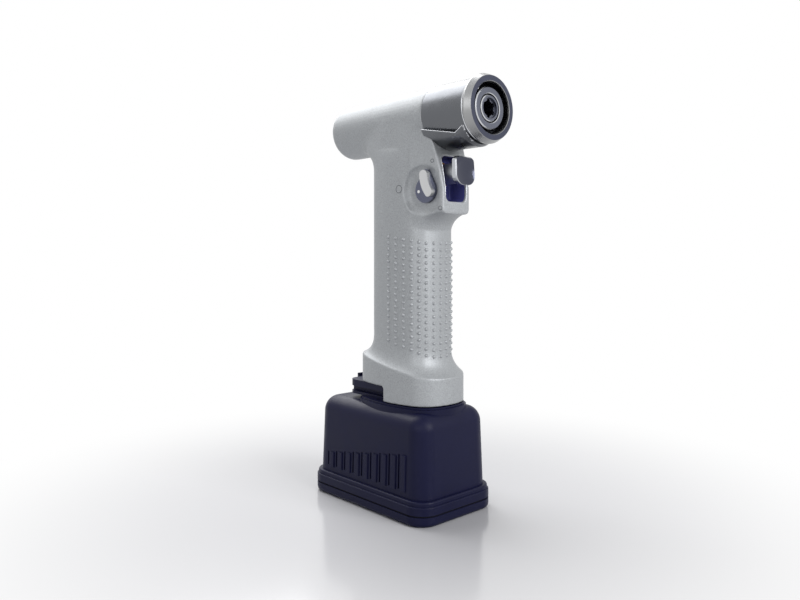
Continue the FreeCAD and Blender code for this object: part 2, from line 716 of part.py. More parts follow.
def collar_clip():
    """Open snap ring that holds the collar on the sleeve."""
    ring = tube(CLIP_OUT_R, CLIP_IN_R, CLIP_X, CLIP_X + CLIP_WIDTH)
    gap = box(CLIP_X - 1, CLIP_X + CLIP_WIDTH + 1, -1.5, 1.5, BARREL_Z - CLIP_OUT_R - 1, BARREL_Z)
    return ring.cut(gap)


def coupling_ring():
    """Fixed inner ring: guides the attachment outside and holds the front bearing inside."""
    bearing_end = FRONT_BEARING_X + FRONT_BEARING_WIDTH
    outline = [(COUPLING_REAR_X, COUPLING_SEAT_R), (FRONT_WEB_X, COUPLING_SEAT_R),
               (FRONT_WEB_X, COUPLING_R), (COUPLING_FRONT_X - 0.5, COUPLING_R),
               (COUPLING_FRONT_X, COUPLING_R - 0.5), (COUPLING_FRONT_X, COUPLING_BORE + 0.3),
               (COUPLING_FRONT_X - 0.3, COUPLING_BORE), (SHAFT_SEAL_X + SHAFT_SEAL_WIDTH, COUPLING_BORE),
               (SHAFT_SEAL_X + SHAFT_SEAL_WIDTH, FRONT_BEARING_R - SEAL_STEP),
               (bearing_end, FRONT_BEARING_R - SEAL_STEP), (bearing_end, FRONT_BEARING_R),
               (FRONT_BEARING_X, FRONT_BEARING_R), (FRONT_BEARING_X, FRONT_BEARING_R - BEARING_LIP),
               (COUPLING_REAR_X, FRONT_BEARING_R - BEARING_LIP)]
    return turned(outline)


# Spindle and gears

def drive_spindle():
    """Hollow-headed spindle with a six-lobed socket."""
    carrier_end = CARRIER_X + CARRIER_THICK
    bearing_end = FRONT_BEARING_X + FRONT_BEARING_WIDTH
    outline = [(CARRIER_X, 0), (CARRIER_X, SPINDLE_REAR_R),
               (REAR_BEARING_X + REAR_BEARING_WIDTH, SPINDLE_REAR_R),
               (REAR_BEARING_X + REAR_BEARING_WIDTH, SPINDLE_R), (bearing_end, SPINDLE_R),
               (bearing_end, SPINDLE_R + SPINDLE_STEP), (SPINDLE_HEAD_X, SPINDLE_R + SPINDLE_STEP),
               (SPINDLE_HEAD_X, SPINDLE_HEAD_R), (SPINDLE_FRONT_X - 0.4, SPINDLE_HEAD_R),
               (SPINDLE_FRONT_X, SPINDLE_HEAD_R - 0.4), (SPINDLE_FRONT_X, 0)]
    body = turned(outline)
    start = SPINDLE_FRONT_X - SOCKET_DEPTH
    drive = rod(SOCKET_R - SOCKET_LOBE_R * 0.9, start, SPINDLE_FRONT_X + 1)
    for lobe in range(6):
        angle = math.radians(60 * lobe + 30)
        reach = SOCKET_R - SOCKET_LOBE_R
        drive = drive.fuse(rod(SOCKET_LOBE_R, start, SPINDLE_FRONT_X + 1,
                               reach * math.cos(angle), BARREL_Z + reach * math.sin(angle)))
    mouth = rod(SOCKET_MOUTH_R, SPINDLE_FRONT_X - SOCKET_MOUTH_DEPTH, SPINDLE_FRONT_X + 1)
    return body.cut([drive, mouth])


def involute_point(base, radius, spread, side):
    """Point of a tooth flank at a radius; spread is the half angle of the tooth at the base circle."""
    if radius <= base:
        angle = spread
    else:
        alpha = math.acos(base / radius)
        angle = spread - (math.tan(alpha) - alpha)
    return side * angle, radius


def gear_wire(teeth, root, tip, half_tooth, phase):
    """Closed outline of a spur gear with involute flanks, in the YZ plane at x = 0."""
    pitch = GEAR_MODULE * teeth / 2
    alpha = math.radians(PRESSURE_ANGLE)
    base = pitch * math.cos(alpha)
    spread = half_tooth / pitch + math.tan(alpha) - alpha
    foot = max(root, base)
    middle = (foot + tip) / 2

    def point(angle, radius):
        return vec(0, radius * math.cos(angle), radius * math.sin(angle))

    edges = []
    first = None
    last = None
    for tooth in range(teeth):
        centre = phase + 2 * math.pi * tooth / teeth
        flank = [involute_point(base, radius, spread, -1) for radius in (foot, middle, tip)]
        rise = [point(centre + a, r) for a, r in flank]
        fall = [point(centre - a, r) for a, r in reversed(flank)]
        start = point(centre + flank[0][0], root)
        end = point(centre - flank[0][0], root)
        if last is None:
            first = start
        else:
            edges.append(Part.makeLine(last, start))
        if root < foot:
            edges.append(Part.makeLine(start, rise[0]))
        edges.append(Part.Arc(*rise).toShape())
        edges.append(Part.makeLine(rise[2], fall[0]))
        edges.append(Part.Arc(*fall).toShape())
        if root < foot:
            edges.append(Part.makeLine(fall[2], end))
        last = end
    edges.append(Part.makeLine(last, first))
    return Part.Wire(edges)


def spur_gear(teeth, bore, x0, width, phase, y=0.0, z=0.0):
    """External gear along X."""
    pitch = GEAR_MODULE * teeth / 2
    half_tooth = (math.pi * GEAR_MODULE - BACKLASH) / 4
    wire = gear_wire(teeth, pitch - 1.25 * GEAR_MODULE, pitch + 0.95 * GEAR_MODULE, half_tooth, phase)
    hole = Part.Wire(Part.makeCircle(bore, vec(0, 0, 0), X))
    solid = Part.Face([wire, hole]).extrude(vec(width, 0, 0))
    solid.translate(vec(x0, y, BARREL_Z + z))
    return solid


def planet_places():
    """Angle, y and z of each planet about the barrel axis."""
    reach = GEAR_MODULE * (SUN_TEETH + PLANET_TEETH) / 2
    for index in range(PLANET_COUNT):
        angle = math.radians(FIRST_PLANET + 360 * index / PLANET_COUNT)
        yield angle, reach * math.cos(angle), reach * math.sin(angle)


def planet_phase(angle):
    """Turn of a planet that puts its teeth in mesh with the sun's, which has a tooth at angle 0."""
    return angle + math.pi - math.pi / PLANET_TEETH + angle * SUN_TEETH / PLANET_TEETH


def ring_phase():
    """Turn of the ring gear's teeth that meets the planets."""
    teeth = SUN_TEETH + 2 * PLANET_TEETH
    return (math.radians(FIRST_PLANET) * (teeth + SUN_TEETH) + math.pi * PLANET_TEETH) / teeth


def ring_gear():
    """Fixed ring gear with internal teeth."""
    teeth = SUN_TEETH + 2 * PLANET_TEETH
    pitch = GEAR_MODULE * teeth / 2
    half_space = (math.pi * GEAR_MODULE + BACKLASH) / 4
    half_pitch = math.pi / teeth
    wire = gear_wire(teeth, pitch - 0.9 * GEAR_MODULE, pitch + 1.2 * GEAR_MODULE, half_space,
                     ring_phase() + half_pitch)
    outer = Part.Wire(Part.makeCircle(RING_R, vec(0, 0, 0), X))
    solid = Part.Face([outer, wire]).extrude(vec(RING_LENGTH, 0, 0))
    solid.translate(vec(RING_X, 0, BARREL_Z))
    return solid


def carrier():
    """Planet carrier plate on the spindle's rear end."""
    plate = tube(CARRIER_R, SPINDLE_REAR_R, CARRIER_X, CARRIER_X + CARRIER_THICK)
    holes = [rod(CARRIER_PIN_R, CARRIER_X - 1, CARRIER_X + CARRIER_THICK + 1, y, BARREL_Z + z)
             for angle, y, z in planet_places()]
    return plate.cut(holes)


def carrier_pins():
    """Pins that the planets turn on."""
    pins = [rod(CARRIER_PIN_R, GEAR_REAR_X - 0.6, CARRIER_X + CARRIER_THICK, y, BARREL_Z + z)
            for angle, y, z in planet_places()]
    return Part.makeCompound(pins)


def race(outer, inner, x, width):
    """One ring of a shielded ball bearing."""
    return tube(outer, inner, x, x + width)


# Motor

def motor_can():
    """Motor can with a rear wall that seats the rear bearing."""
    rear = CAN_REAR_X
    seat = rear + 1.0
    outline = [(rear, 3.2), (rear, CAN_R), (CAN_FRONT_X, CAN_R), (CAN_FRONT_X, CAN_R - CAN_WALL),
               (rear + CAN_END, CAN_R - CAN_WALL), (rear + CAN_END, MOTOR_BEARING_R + 1.0),
               (seat + MOTOR_BEARING_WIDTH, MOTOR_BEARING_R + 1.0),
               (seat + MOTOR_BEARING_WIDTH, MOTOR_BEARING_R), (seat, MOTOR_BEARING_R), (seat, 3.2)]
    return turned(outline)


def motor_plate():
    """Front plate of the motor with the front bearing's seat."""
    seat = PLATE_FRONT_X - MOTOR_BEARING_WIDTH
    lip = MOTOR_BEARING_R - 1.0
    rim = CAN_R - CAN_WALL - SEAT
    return turned([(CAN_FRONT_X, CAN_R), (PLATE_FRONT_X, CAN_R), (PLATE_FRONT_X, MOTOR_BEARING_R),
                   (seat, MOTOR_BEARING_R), (seat, lip), (seat - 1.0, lip), (seat - 1.0, rim),
                   (CAN_FRONT_X, rim)])


def stator_core():
    """Laminated core with teeth towards the rotor."""
    outer = CAN_R - CAN_WALL
    body = tube(outer, CORE_BORE, CORE_REAR_X, CORE_FRONT_X)
    return body.cut(slot_space(CORE_REAR_X - 1, CORE_FRONT_X + 1))


def slot_space(x0, x1):
    """Space between the core's teeth, where the copper lies."""
    outer = CAN_R - CAN_WALL - CORE_YOKE
    space = tube(outer, CORE_BORE - 1, x0, x1)
    teeth = []
    for index in range(CORE_SLOTS // 2):
        bar = box(x0 - 1, x1 + 1, -CAN_R, CAN_R, -TOOTH_WIDTH / 2, TOOTH_WIDTH / 2)
        bar.rotate(vec(0, 0, 0), X, 360 / CORE_SLOTS * index)
        bar.translate(vec(0, 0, BARREL_Z))
        teeth.append(bar)
    return space.cut(teeth)


def windings():
    """Copper in the slots and its end turns."""
    slots = slot_space(CORE_REAR_X, CORE_FRONT_X).cut(rod(CORE_BORE + 0.2, CORE_REAR_X, CORE_FRONT_X))
    outer = CAN_R - CAN_WALL - CORE_YOKE
    inner = CORE_BORE + 0.2
    rear = tube(outer, inner, CORE_REAR_X - WINDING_OVERHANG, CORE_REAR_X)
    front = tube(outer, inner, CORE_FRONT_X, CORE_FRONT_X + WINDING_OVERHANG)
    return slots.fuse([rear, front])


def hall_board():
    """Sensor board ring behind the rotor."""
    x = CAN_REAR_X + CAN_END
    return tube(CAN_R - CAN_WALL - SEAT, HALL_BOARD_HOLE + SEAT, x, x + HALL_BOARD_THICK)


def rotor_shaft():
    """Motor shaft with a thinner end for the sun gear."""
    rear = CAN_REAR_X + 1.0
    outline = [(rear, 0), (rear, MOTOR_SHAFT_R), (PLATE_FRONT_X + 0.8, MOTOR_SHAFT_R),
               (PLATE_FRONT_X + 0.8, SUN_BORE), (GEAR_REAR_X + GEAR_FACE, SUN_BORE),
               (GEAR_REAR_X + GEAR_FACE, 0)]
    return turned(outline)


def rotor_magnet():
    """Magnet ring on the shaft."""
    x0 = CORE_REAR_X + MAGNET_END_GAP
    return tube(MAGNET_RING_R, MOTOR_SHAFT_R, x0, CORE_FRONT_X - MAGNET_END_GAP)


# Trigger

def trigger_cap():
    """Shield-shaped cap: small upper corners, wide lower ones, and a dished front that leans forward."""
    high = TRIGGER_Z + TRIGGER_HALF_HEIGHT
    low = TRIGGER_Z - TRIGGER_HALF_HEIGHT
    reach = TRIGGER_HALF_WIDTH
    cap = box(TRIGGER_REAR_X, TRIGGER_FRONT_X, -reach, reach, low, high)
    long_edges = [e for e in cap.Edges if e.BoundBox.XLength > 1]
    cap = cap.makeFillet(TRIGGER_TOP_ROUND, [e for e in long_edges if e.CenterOfMass.z > TRIGGER_Z])
    long_edges = [e for e in cap.Edges if e.BoundBox.XLength > 1]
    cap = cap.makeFillet(TRIGGER_LOW_ROUND, [e for e in long_edges if e.CenterOfMass.z < low + 1])
    lean = prism_side([(TRIGGER_FRONT_X - TRIGGER_LEAN, high + 1), (TRIGGER_FRONT_X, low - 1),
                       (TRIGGER_FRONT_X + 5, low - 1), (TRIGGER_FRONT_X + 5, high + 1)], 2 * reach)
    cap = cap.cut(lean)
    front = [e for e in cap.Edges if e.BoundBox.XMin > TRIGGER_FRONT_X - TRIGGER_LEAN - 1]
    cap = cap.makeChamfer(TRIGGER_EDGE, front)
    centre = vec(TRIGGER_FRONT_X - TRIGGER_LEAN / 2 - TRIGGER_DISH_DEPTH + TRIGGER_DISH_R, 0, TRIGGER_Z)
    return cap.cut(Part.makeSphere(TRIGGER_DISH_R, centre))


def trigger_stem():
    """Stem that runs in the bush, with a stop flange and a spring seat behind."""
    rear_flange = BUSH_REAR_X - STEM_FLANGE_THICK
    outline = [(STEM_END_X, 0), (STEM_END_X, STEM_TAIL_R), (rear_flange, STEM_TAIL_R),
               (rear_flange, STEM_FLANGE_R), (BUSH_REAR_X, STEM_FLANGE_R), (BUSH_REAR_X, STEM_R),
               (TRIGGER_REAR_X - 1.2, STEM_R), (TRIGGER_REAR_X - 1.2, STEM_R + 0.8),
               (TRIGGER_REAR_X, STEM_R + 0.8), (TRIGGER_REAR_X, 0)]
    stem = turned(outline, STEM_Z)
    return stem.cut(rod(MAGNET_R, STEM_END_X - 1, STEM_END_X + MAGNET_LENGTH, 0, STEM_Z))


def trigger_bush():
    """Plain bush in the wall behind the pocket."""
    return tube(STEM_R + RUN + BUSH_WALL, STEM_R + RUN, BUSH_REAR_X, POCKET_FLOOR_X, 0, STEM_Z)


def trigger_module():
    """Sealed sensor housing behind the trigger, held between the grip's side walls."""
    low = STEM_Z - MODULE_HALF_HEIGHT
    high = STEM_Z + MODULE_HALF_HEIGHT
    wall = 2 * (GRIP_WALL + SEAT)
    room = box(MODULE_REAR_X, MODULE_FRONT_X, -GRIP_WIDTH, GRIP_WIDTH, low, high)
    body = oval(GRIP_LENGTH - wall, GRIP_WIDTH - wall, low, high).common(room)
    seat = tube(SPRING_OUT_R + 1.1, SPRING_OUT_R + SLIDE, MODULE_FRONT_X, MODULE_FRONT_X + 2.0, 0, STEM_Z)
    return body.fuse(seat)


# Selector

def knob_outline(grow, z0, z1):
    """Teardrop with its point up, pulled from z0 to z1 out of the dish floor."""
    round_end = Part.makeCylinder(KNOB_R + grow, z1 - z0, vec(0, -z1, 0), Y)
    tip = Part.makeCylinder(KNOB_TIP_R + grow, z1 - z0, vec(0, -z1, KNOB_TIP_UP), Y)
    lean = math.asin((KNOB_R - KNOB_TIP_R) / KNOB_TIP_UP)
    c = math.cos(lean)
    s = math.sin(lean)
    big = KNOB_R + grow
    small = KNOB_TIP_R + grow
    corners = [vec(big * c, -z1, big * s), vec(small * c, -z1, KNOB_TIP_UP + small * s),
               vec(-small * c, -z1, KNOB_TIP_UP + small * s), vec(-big * c, -z1, big * s)]
    flanks = Part.Face(Part.makePolygon(corners + corners[:1])).extrude(vec(0, z1 - z0, 0))
    return round_end.fuse([tip, flanks]).removeSplitter()


def knob_ridge():
    """Raised thumb ridge: a leaning comma with its wide end low and forward."""
    corners = {"top_rear": (-1.9, 8.4), "low": (2.5, -3.3), "toe": (5.6, -2.7), "heel": (5.9, 0.4),
               "top_front": (3.2, 8.2)}
    runs = (("top_rear", (-1.0, 3.0), "low"), ("low", (4.2, -3.7), "toe"), ("toe", (6.4, -1.2), "heel"),
            ("heel", (4.1, 4.0), "top_front"), ("top_front", (0.9, 10.2), "top_rear"))
    edges = []
    for start, middle, end in runs:
        points = [vec(x, -KNOB_BASE + 0.2, z) for x, z in (corners[start], middle, corners[end])]
        edges.append(Part.Arc(*points).toShape())
    return Part.Face(Part.Wire(edges)).extrude(vec(0, KNOB_BASE - 0.2 - KNOB_RIDGE, 0))


def knob():
    """Selector knob: teardrop base with a raised crescent thumb ridge."""
    base = knob_outline(0, SLIDE, KNOB_BASE)
    base.rotate(vec(0, 0, 0), Y, KNOB_LEAN)
    whole = on_selector(base.fuse(knob_ridge()))
    return whole.cut([knob_pivot(RUN, 0.1), knob_dot(), knob_magnet()])


def knob_pivot(grow, extra):
    """Pin that the knob turns on, screwed into the dish floor."""
    length = PIVOT_DEPTH + PIVOT_LENGTH + extra
    pin = Part.makeCylinder(PIVOT_R + grow, length, vec(0, PIVOT_DEPTH - length, 0), Y)
    return on_selector(pin)


def knob_dot():
    """Small steel pin set in the knob's base."""
    dot = Part.makeCylinder(KNOB_PIN_R, 1.2, vec(-4.4, -KNOB_BASE, -0.6), Y)
    return on_selector(dot)


def knob_magnet():
    """Disc magnet in the knob's underside."""
    disc = Part.makeCylinder(DISC_MAGNET_R, DISC_MAGNET_THICK, vec(0, -SLIDE - DISC_MAGNET_THICK, -4.2), Y)
    return on_selector(disc)


# Board, contacts and foot

def control_board():
    """Board that stands between the grip's front and rear walls."""
    length = GRIP_LENGTH - 2 * GRIP_WALL - SEAT
    return box(GRIP_X - length / 2, GRIP_X + length / 2, -BOARD_THICK / 2, BOARD_THICK / 2,
               BOARD_LOW_Z, BOARD_HIGH_Z)


def transistors():
    """Power transistors in one row on the board."""
    sx, sy, sz = TRANSISTOR_SIZE
    chips = []
    for index in range(TRANSISTOR_COUNT):
        z = BOARD_LOW_Z + 12 + index * TRANSISTOR_PITCH
        chips.append(box(GRIP_X - sx - 2, GRIP_X - 2, -BOARD_THICK / 2 - sy, -BOARD_THICK / 2, z, z + sz))
    return Part.makeCompound(chips)


def capacitors():
    """Two buffer capacitors lying along the board."""
    cans = []
    for index in range(2):
        z = BOARD_LOW_Z + 14 + index * (CAPACITOR_LENGTH + 3)
        centre = vec(GRIP_X + 5, BOARD_THICK / 2 + CAPACITOR_R, z)
        cans.append(Part.makeCylinder(CAPACITOR_R, CAPACITOR_LENGTH, centre, Z))
    return Part.makeCompound(cans)


def contact_block():
    """Insulating plate that closes the foot and carries the blades."""
    low = CONTACT_LOW_Z
    plate = oval(FOOT_LENGTH - 2 * SKIRT_WALL, FOOT_WIDTH - 2 * SKIRT_WALL, low, low + CONTACT_THICK)
    return plate.cut([blade(index) for index in range(BLADE_COUNT)])


def blade_y(index):
    """Sideways place of a blade."""
    return (index - (BLADE_COUNT - 1) / 2) * BLADE_PITCH


def blade(index):
    """One contact blade."""
    y = blade_y(index)
    half = BLADE_THICK / 2
    return box(BLADE_REAR_X, BLADE_REAR_X + BLADE_LENGTH, y - half, y + half, BLADE_TIP_Z, BLADE_TOP_Z)


def rail_shoe():
    """Steel U in the skirt whose edges run in the battery tower's grooves."""
    high = SHOE_LOW_Z + SHOE_THICK
    start = GRIP_X - FOOT_LENGTH
    plate = oval(FOOT_LENGTH - 2 * SKIRT_WALL, FOOT_WIDTH - 2 * SKIRT_WALL, SHOE_LOW_Z, high)
    rear = box(start, SKIRT_STEP_X + 2 * SLIDE, -FOOT_WIDTH, FOOT_WIDTH, SHOE_LOW_Z, high)
    slot = box(start, SHOE_SLOT_END_X, -SHOE_HALF_SLOT, SHOE_HALF_SLOT, SHOE_LOW_Z, high)
    return plate.cut([rear, slot])


# Battery

def tower():
    """Battery tower: neck, grooved sides and slotted head."""
    head_low = SHOE_LOW_Z + SHOE_THICK + SLIDE
    plinth_top = CASE_TOP_Z + PLINTH_HIGH
    neck_end = SHOE_SLOT_END_X - SLIDE
    neck_half = SHOE_HALF_SLOT - SLIDE
    head_rear = TOWER_REAR_X
    head_end = GRIP_X + FOOT_LENGTH / 2 - SKIRT_WALL - SLIDE
    neck = box(head_rear + 1.5, neck_end, -neck_half, neck_half, plinth_top, head_low)
    half_x = (GRIP_X - head_rear + TOWER_REAR_ROUND + 6) / 2
    rear_block = round_rect(half_x, TOWER_HALF, TOWER_REAR_ROUND, head_low, TOWER_TOP_Z,
                            head_rear + half_x)
    front_block = oval(2 * (head_end - GRIP_X), 2 * TOWER_HALF, head_low, TOWER_TOP_Z)
    foot_low = plinth_top
    foot_high = SHOE_LOW_Z - SLIDE
    sole = round_rect(half_x, TOWER_HALF, TOWER_REAR_ROUND, foot_low, foot_high, head_rear + half_x)
    sole_front = oval(2 * (head_end - GRIP_X), 2 * TOWER_HALF, foot_low, foot_high)
    body = neck.fuse([rear_block, front_block, sole, sole_front])
    slots = []
    for index in range(BLADE_COUNT):
        y = blade_y(index)
        half = TOWER_SLOT_WIDTH / 2
        low = TOWER_TOP_Z - TOWER_SLOT_DEPTH
        slots.append(box(TOWER_SLOT_REAR_X, head_end + 1, y - half, y + half, low, TOWER_TOP_Z + 1))
    rear = LEVER_REAR_X - 2
    front = LEVER_FRONT_X + 1.4
    lever_room = prism_side([(rear, TOWER_TOP_Z + 1), (rear, lever_floor(rear)),
                             (front, lever_floor(front)), (front, TOWER_TOP_Z + 1)], LEVER_HALF + SLIDE)
    pin_hole = latch_pin_shape(0)
    return body.cut(slots + [lever_room, pin_hole])


def lever_floor(x):
    """Height of the sloping recess floor under the latch lever."""
    share = (x - LEVER_REAR_X) / (LEVER_FRONT_X - LEVER_REAR_X)
    return TOWER_TOP_Z - LEVER_THICK - LEVER_DROP + (LEVER_DROP - 0.9) * share


def prism_side(points, half):
    """A side outline of (x, z) points pulled across by half each way."""
    corners = [vec(x, -half, z) for x, z in points]
    return Part.Face(Part.makePolygon(corners + corners[:1])).extrude(vec(0, 2 * half, 0))


def latch_pivot():
    """Place of the lever's pivot."""
    return vec(LEVER_FRONT_X - 1.6, 0, TOWER_TOP_Z - LEVER_THICK / 2 - 0.1)


def latch_pin_shape(grow):
    """Cross pin of the latch lever."""
    at = latch_pivot()
    half = LEVER_HALF + 3.0
    return Part.makeCylinder(LATCH_PIN_R + grow, 2 * half, vec(at.x, -half, at.z), Y)


def latch_lever():
    """Lever on top of the tower, with a thumb tab turned up at its rear."""
    top = TOWER_TOP_Z - 0.1
    low = top - LEVER_THICK
    plate = box(LEVER_REAR_X, LEVER_FRONT_X - 0.6, -LEVER_HALF, LEVER_HALF, low, top)
    pivot = latch_pivot()
    nose = Part.makeCylinder(LEVER_THICK / 2, 2 * LEVER_HALF, pivot - vec(0, LEVER_HALF, 0), Y)
    tab = box(LEVER_REAR_X, LEVER_REAR_X + 1.4, -LEVER_HALF, LEVER_HALF, low, top + LEVER_TAB_HIGH)
    spare = box(pivot.x, LEVER_FRONT_X + 1, -2 * LEVER_HALF, 2 * LEVER_HALF, low - 1, top + 1)
    body = plate.cut(spare).fuse([nose, tab])
    return body.cut(latch_pin_shape(RUN))


def latch_spring():
    """Leaf from the recess floor up to the lever's underside."""
    low_x = LEVER_FRONT_X - 4.5
    high_x = LEVER_REAR_X + 4.5
    under = TOWER_TOP_Z - 0.1 - LEVER_THICK - RUN
    floor = lever_floor(low_x) + RUN
    return prism_side([(low_x, floor), (low_x, floor + LEAF_THICK), (high_x, under),
                       (high_x, under - LEAF_THICK)], LEVER_HALF / 2)


def drafted(half, low, high):
    """Side view of the case between two heights, half wide at its foot and drawn in by its draft."""
    return [(-half, low), (half, low), (half - CASE_DRAFT, high), (CASE_DRAFT - half, high)]


def case_shell_outer():
    """Outer form of the battery case above its seam."""
    low = SKIRT_TOP_Z - 1.0
    high = CASE_TOP_Z
    along = prism_side(drafted(CASE_HALF_LENGTH, low, high), 2 * CASE_HALF_WIDTH)
    across = prism_side(drafted(CASE_HALF_WIDTH, low, high), 2 * CASE_HALF_LENGTH)
    across.rotate(vec(0, 0, 0), Z, 90)
    body = along.common(across)
    corners = [e for e in body.Edges if e.BoundBox.ZLength > high - low - 1]
    body = body.makeFillet(CASE_CORNER, corners)
    top = [e for e in body.Edges if e.BoundBox.ZMin > high - 0.01]
    body = body.makeFillet(CASE_TOP_ROUND, top)
    skirt = round_rect(SKIRT_HALF_LENGTH, SKIRT_HALF_WIDTH, SKIRT_CORNER, SEAM_Z, SKIRT_STEP_Z)
    upper = round_rect(SKIRT_HALF_LENGTH - SKIRT_STEP, SKIRT_HALF_WIDTH - SKIRT_STEP,
                       SKIRT_CORNER - SKIRT_STEP, SKIRT_STEP_Z - 1, SKIRT_TOP_Z)
    edge = [e for e in upper.Edges if e.BoundBox.ZMin > SKIRT_TOP_Z - 0.01]
    upper = upper.makeFillet(0.9, edge)
    step_edge = [e for e in skirt.Edges if e.BoundBox.ZMin > SKIRT_STEP_Z - 0.01]
    skirt = skirt.makeFillet(0.5, step_edge)
    plinth_low = oval(PLINTH_LENGTH, PLINTH_WIDTH, CASE_TOP_Z - 3, CASE_TOP_Z + PLINTH_HIGH - PLINTH_STEP)
    plinth_high = oval(PLINTH_LENGTH - 2, PLINTH_WIDTH - 2, CASE_TOP_Z - 3, CASE_TOP_Z + PLINTH_HIGH)
    return body.fuse([skirt, upper, plinth_low, plinth_high])


def side_face_y(z):
    """Half width of the drafted side wall at a height."""
    low = SKIRT_TOP_Z - 1.0
    return CASE_HALF_WIDTH - CASE_DRAFT * (z - low) / (CASE_TOP_Z - low)


def rib(index, side):
    """One raised rib on the case's side."""
    x = RIB_FIRST_X + index * RIB_PITCH + RIB_TO_SLIT
    high = RIB_LOW_Z + RIB_SHORT + RIB_RISE * index
    deep = 2.0
    half = RIB_WIDTH / 2
    low_y = side_face_y(RIB_LOW_Z)
    high_y = side_face_y(high)
    outline = [vec(0, low_y - deep, RIB_LOW_Z - 0.6), vec(0, low_y + RIB_PROUD, RIB_LOW_Z - 0.6),
               vec(0, high_y + RIB_PROUD, high), vec(0, high_y - deep, high)]
    face = Part.Face(Part.makePolygon(outline + outline[:1]))
    face.translate(vec(x - half, 0, 0))
    solid = face.extrude(vec(RIB_WIDTH, 0, 0))
    edges = [e for e in solid.Edges if e.BoundBox.ZLength > 4 and e.CenterOfMass.y > low_y - 0.5]
    solid = solid.makeFillet(0.5, edges)
    return solid if side > 0 else solid.mirror(vec(0, 0, 0), Y)


def slit(index, side):
    """One narrow slit beside a rib."""
    x = RIB_FIRST_X + index * RIB_PITCH
    high = RIB_LOW_Z + RIB_SHORT + RIB_RISE * index
    y = side_face_y(RIB_LOW_Z)
    return box(x - SLIT_WIDTH / 2, x + SLIT_WIDTH / 2, min(side * (y - SLIT_DEPTH), side * (y + 3)),
               max(side * (y - SLIT_DEPTH), side * (y + 3)), RIB_LOW_Z, high)


def battery_case():
    """Moulded case, hollow from below, with ribbed sides."""
    shell = case_shell_outer()
    ribs = []
    slits = []
    for side in (-1, 1):
        for index in range(RIB_COUNT):
            ribs.append(rib(index, side))
            slits.append(slit(index, side))
    shell = shell.fuse(ribs)
    length = CASE_HALF_LENGTH - CASE_WALL
    width = CASE_HALF_WIDTH - CASE_WALL
    corner = CASE_CORNER - CASE_WALL
    inner = Part.makeLoft([
        round_rect_wire(length, width, corner, SEAM_Z - 1),
        round_rect_wire(length - CASE_DRAFT, width - CASE_DRAFT, corner,
                        CASE_TOP_Z - CASE_TOP_ROUND + CASE_WALL - 0.4)], True, True)
    return shell.cut(slits + [inner])


def gasket():
    """Dark seal in the seam between case and base."""
    inset = 0.7
    ring = round_rect(SKIRT_HALF_LENGTH - inset, SKIRT_HALF_WIDTH - inset, SKIRT_CORNER - inset,
                      SEAM_Z - SEAM_GAP, SEAM_Z)
    hole = round_rect(CASE_HALF_LENGTH - CASE_WALL, CASE_HALF_WIDTH - CASE_WALL, CASE_CORNER - CASE_WALL,
                      SEAM_Z - SEAM_GAP, SEAM_Z)
    return ring.cut([hole] + screw_holes(SCREW_R))


def screw_places():
    """Corners where the base is screwed to the case."""
    x = SKIRT_HALF_LENGTH - SCREW_EDGE
    y = SKIRT_HALF_WIDTH - SKIRT_CORNER + SCREW_CORNER
    return [(sx * x, sy * y) for sx in (-1, 1) for sy in (-1, 1)]


def screw_holes(radius):
    """Clearance for the base screws."""
    return [Part.makeCylinder(radius, SKIRT_STEP_Z, vec(x, y, 0), Z) for x, y in screw_places()]


def battery_base():
    """Base plate with rounded lower edge."""
    top = SEAM_Z - SEAM_GAP
    plate = round_rect(SKIRT_HALF_LENGTH, SKIRT_HALF_WIDTH, SKIRT_CORNER, 0, top)
    edge = [e for e in plate.Edges if e.BoundBox.ZMax < 0.01]
    plate = plate.makeFillet(BASE_UNDER_INSET, edge)
    deep = SCREW_SINK + SCREW_HEAD_THICK
    heads = [Part.makeCylinder(SCREW_HEAD_R, deep, vec(x, y, 0), Z) for x, y in screw_places()]
    return plate.cut(heads + screw_holes(SCREW_R))


def base_screws():
    """Four screws that hold the base to the case."""
    screws = []
    for x, y in screw_places():
        head = Part.makeCylinder(SCREW_HEAD_R - RUN, SCREW_HEAD_THICK, vec(x, y, SCREW_SINK), Z)
        shank = Part.makeCylinder(SCREW_R - RUN, SEAM_Z - SCREW_SINK, vec(x, y, SCREW_SINK), Z)
        screws.append(head.fuse(shank))
    return Part.makeCompound(screws)


def cell_places():
    """Centres of the cells, lying across the case."""
    base = SEAM_Z - SEAM_GAP + HOLDER_HIGH
    for column in range(CELL_COLUMNS):
        x = (column - (CELL_COLUMNS - 1) / 2) * CELL_PITCH
        for row in range(CELL_ROWS):
            yield x, base + CELL_R - HOLDER_NEST + row * CELL_PITCH


def cell(x, z):
    """One battery cell, lying across the case."""
    return Part.makeCylinder(CELL_R, CELL_LENGTH, vec(x, -CELL_LENGTH / 2, z), Y)


def cells():
    """Battery cells."""
    return Part.makeCompound([cell(x, z) for x, z in cell_places()])


def cell_holder():
    """Cradle that the cells lie in, standing on the base."""
    low = SEAM_Z - SEAM_GAP
    half_x = CELL_PITCH * CELL_COLUMNS / 2
    places = list(cell_places())
    high = max(z for x, z in places)
    body = box(-half_x, half_x, -HOLDER_HALF_WIDTH, HOLDER_HALF_WIDTH, low, high)
    return body.cut([cell(x, z) for x, z in places])


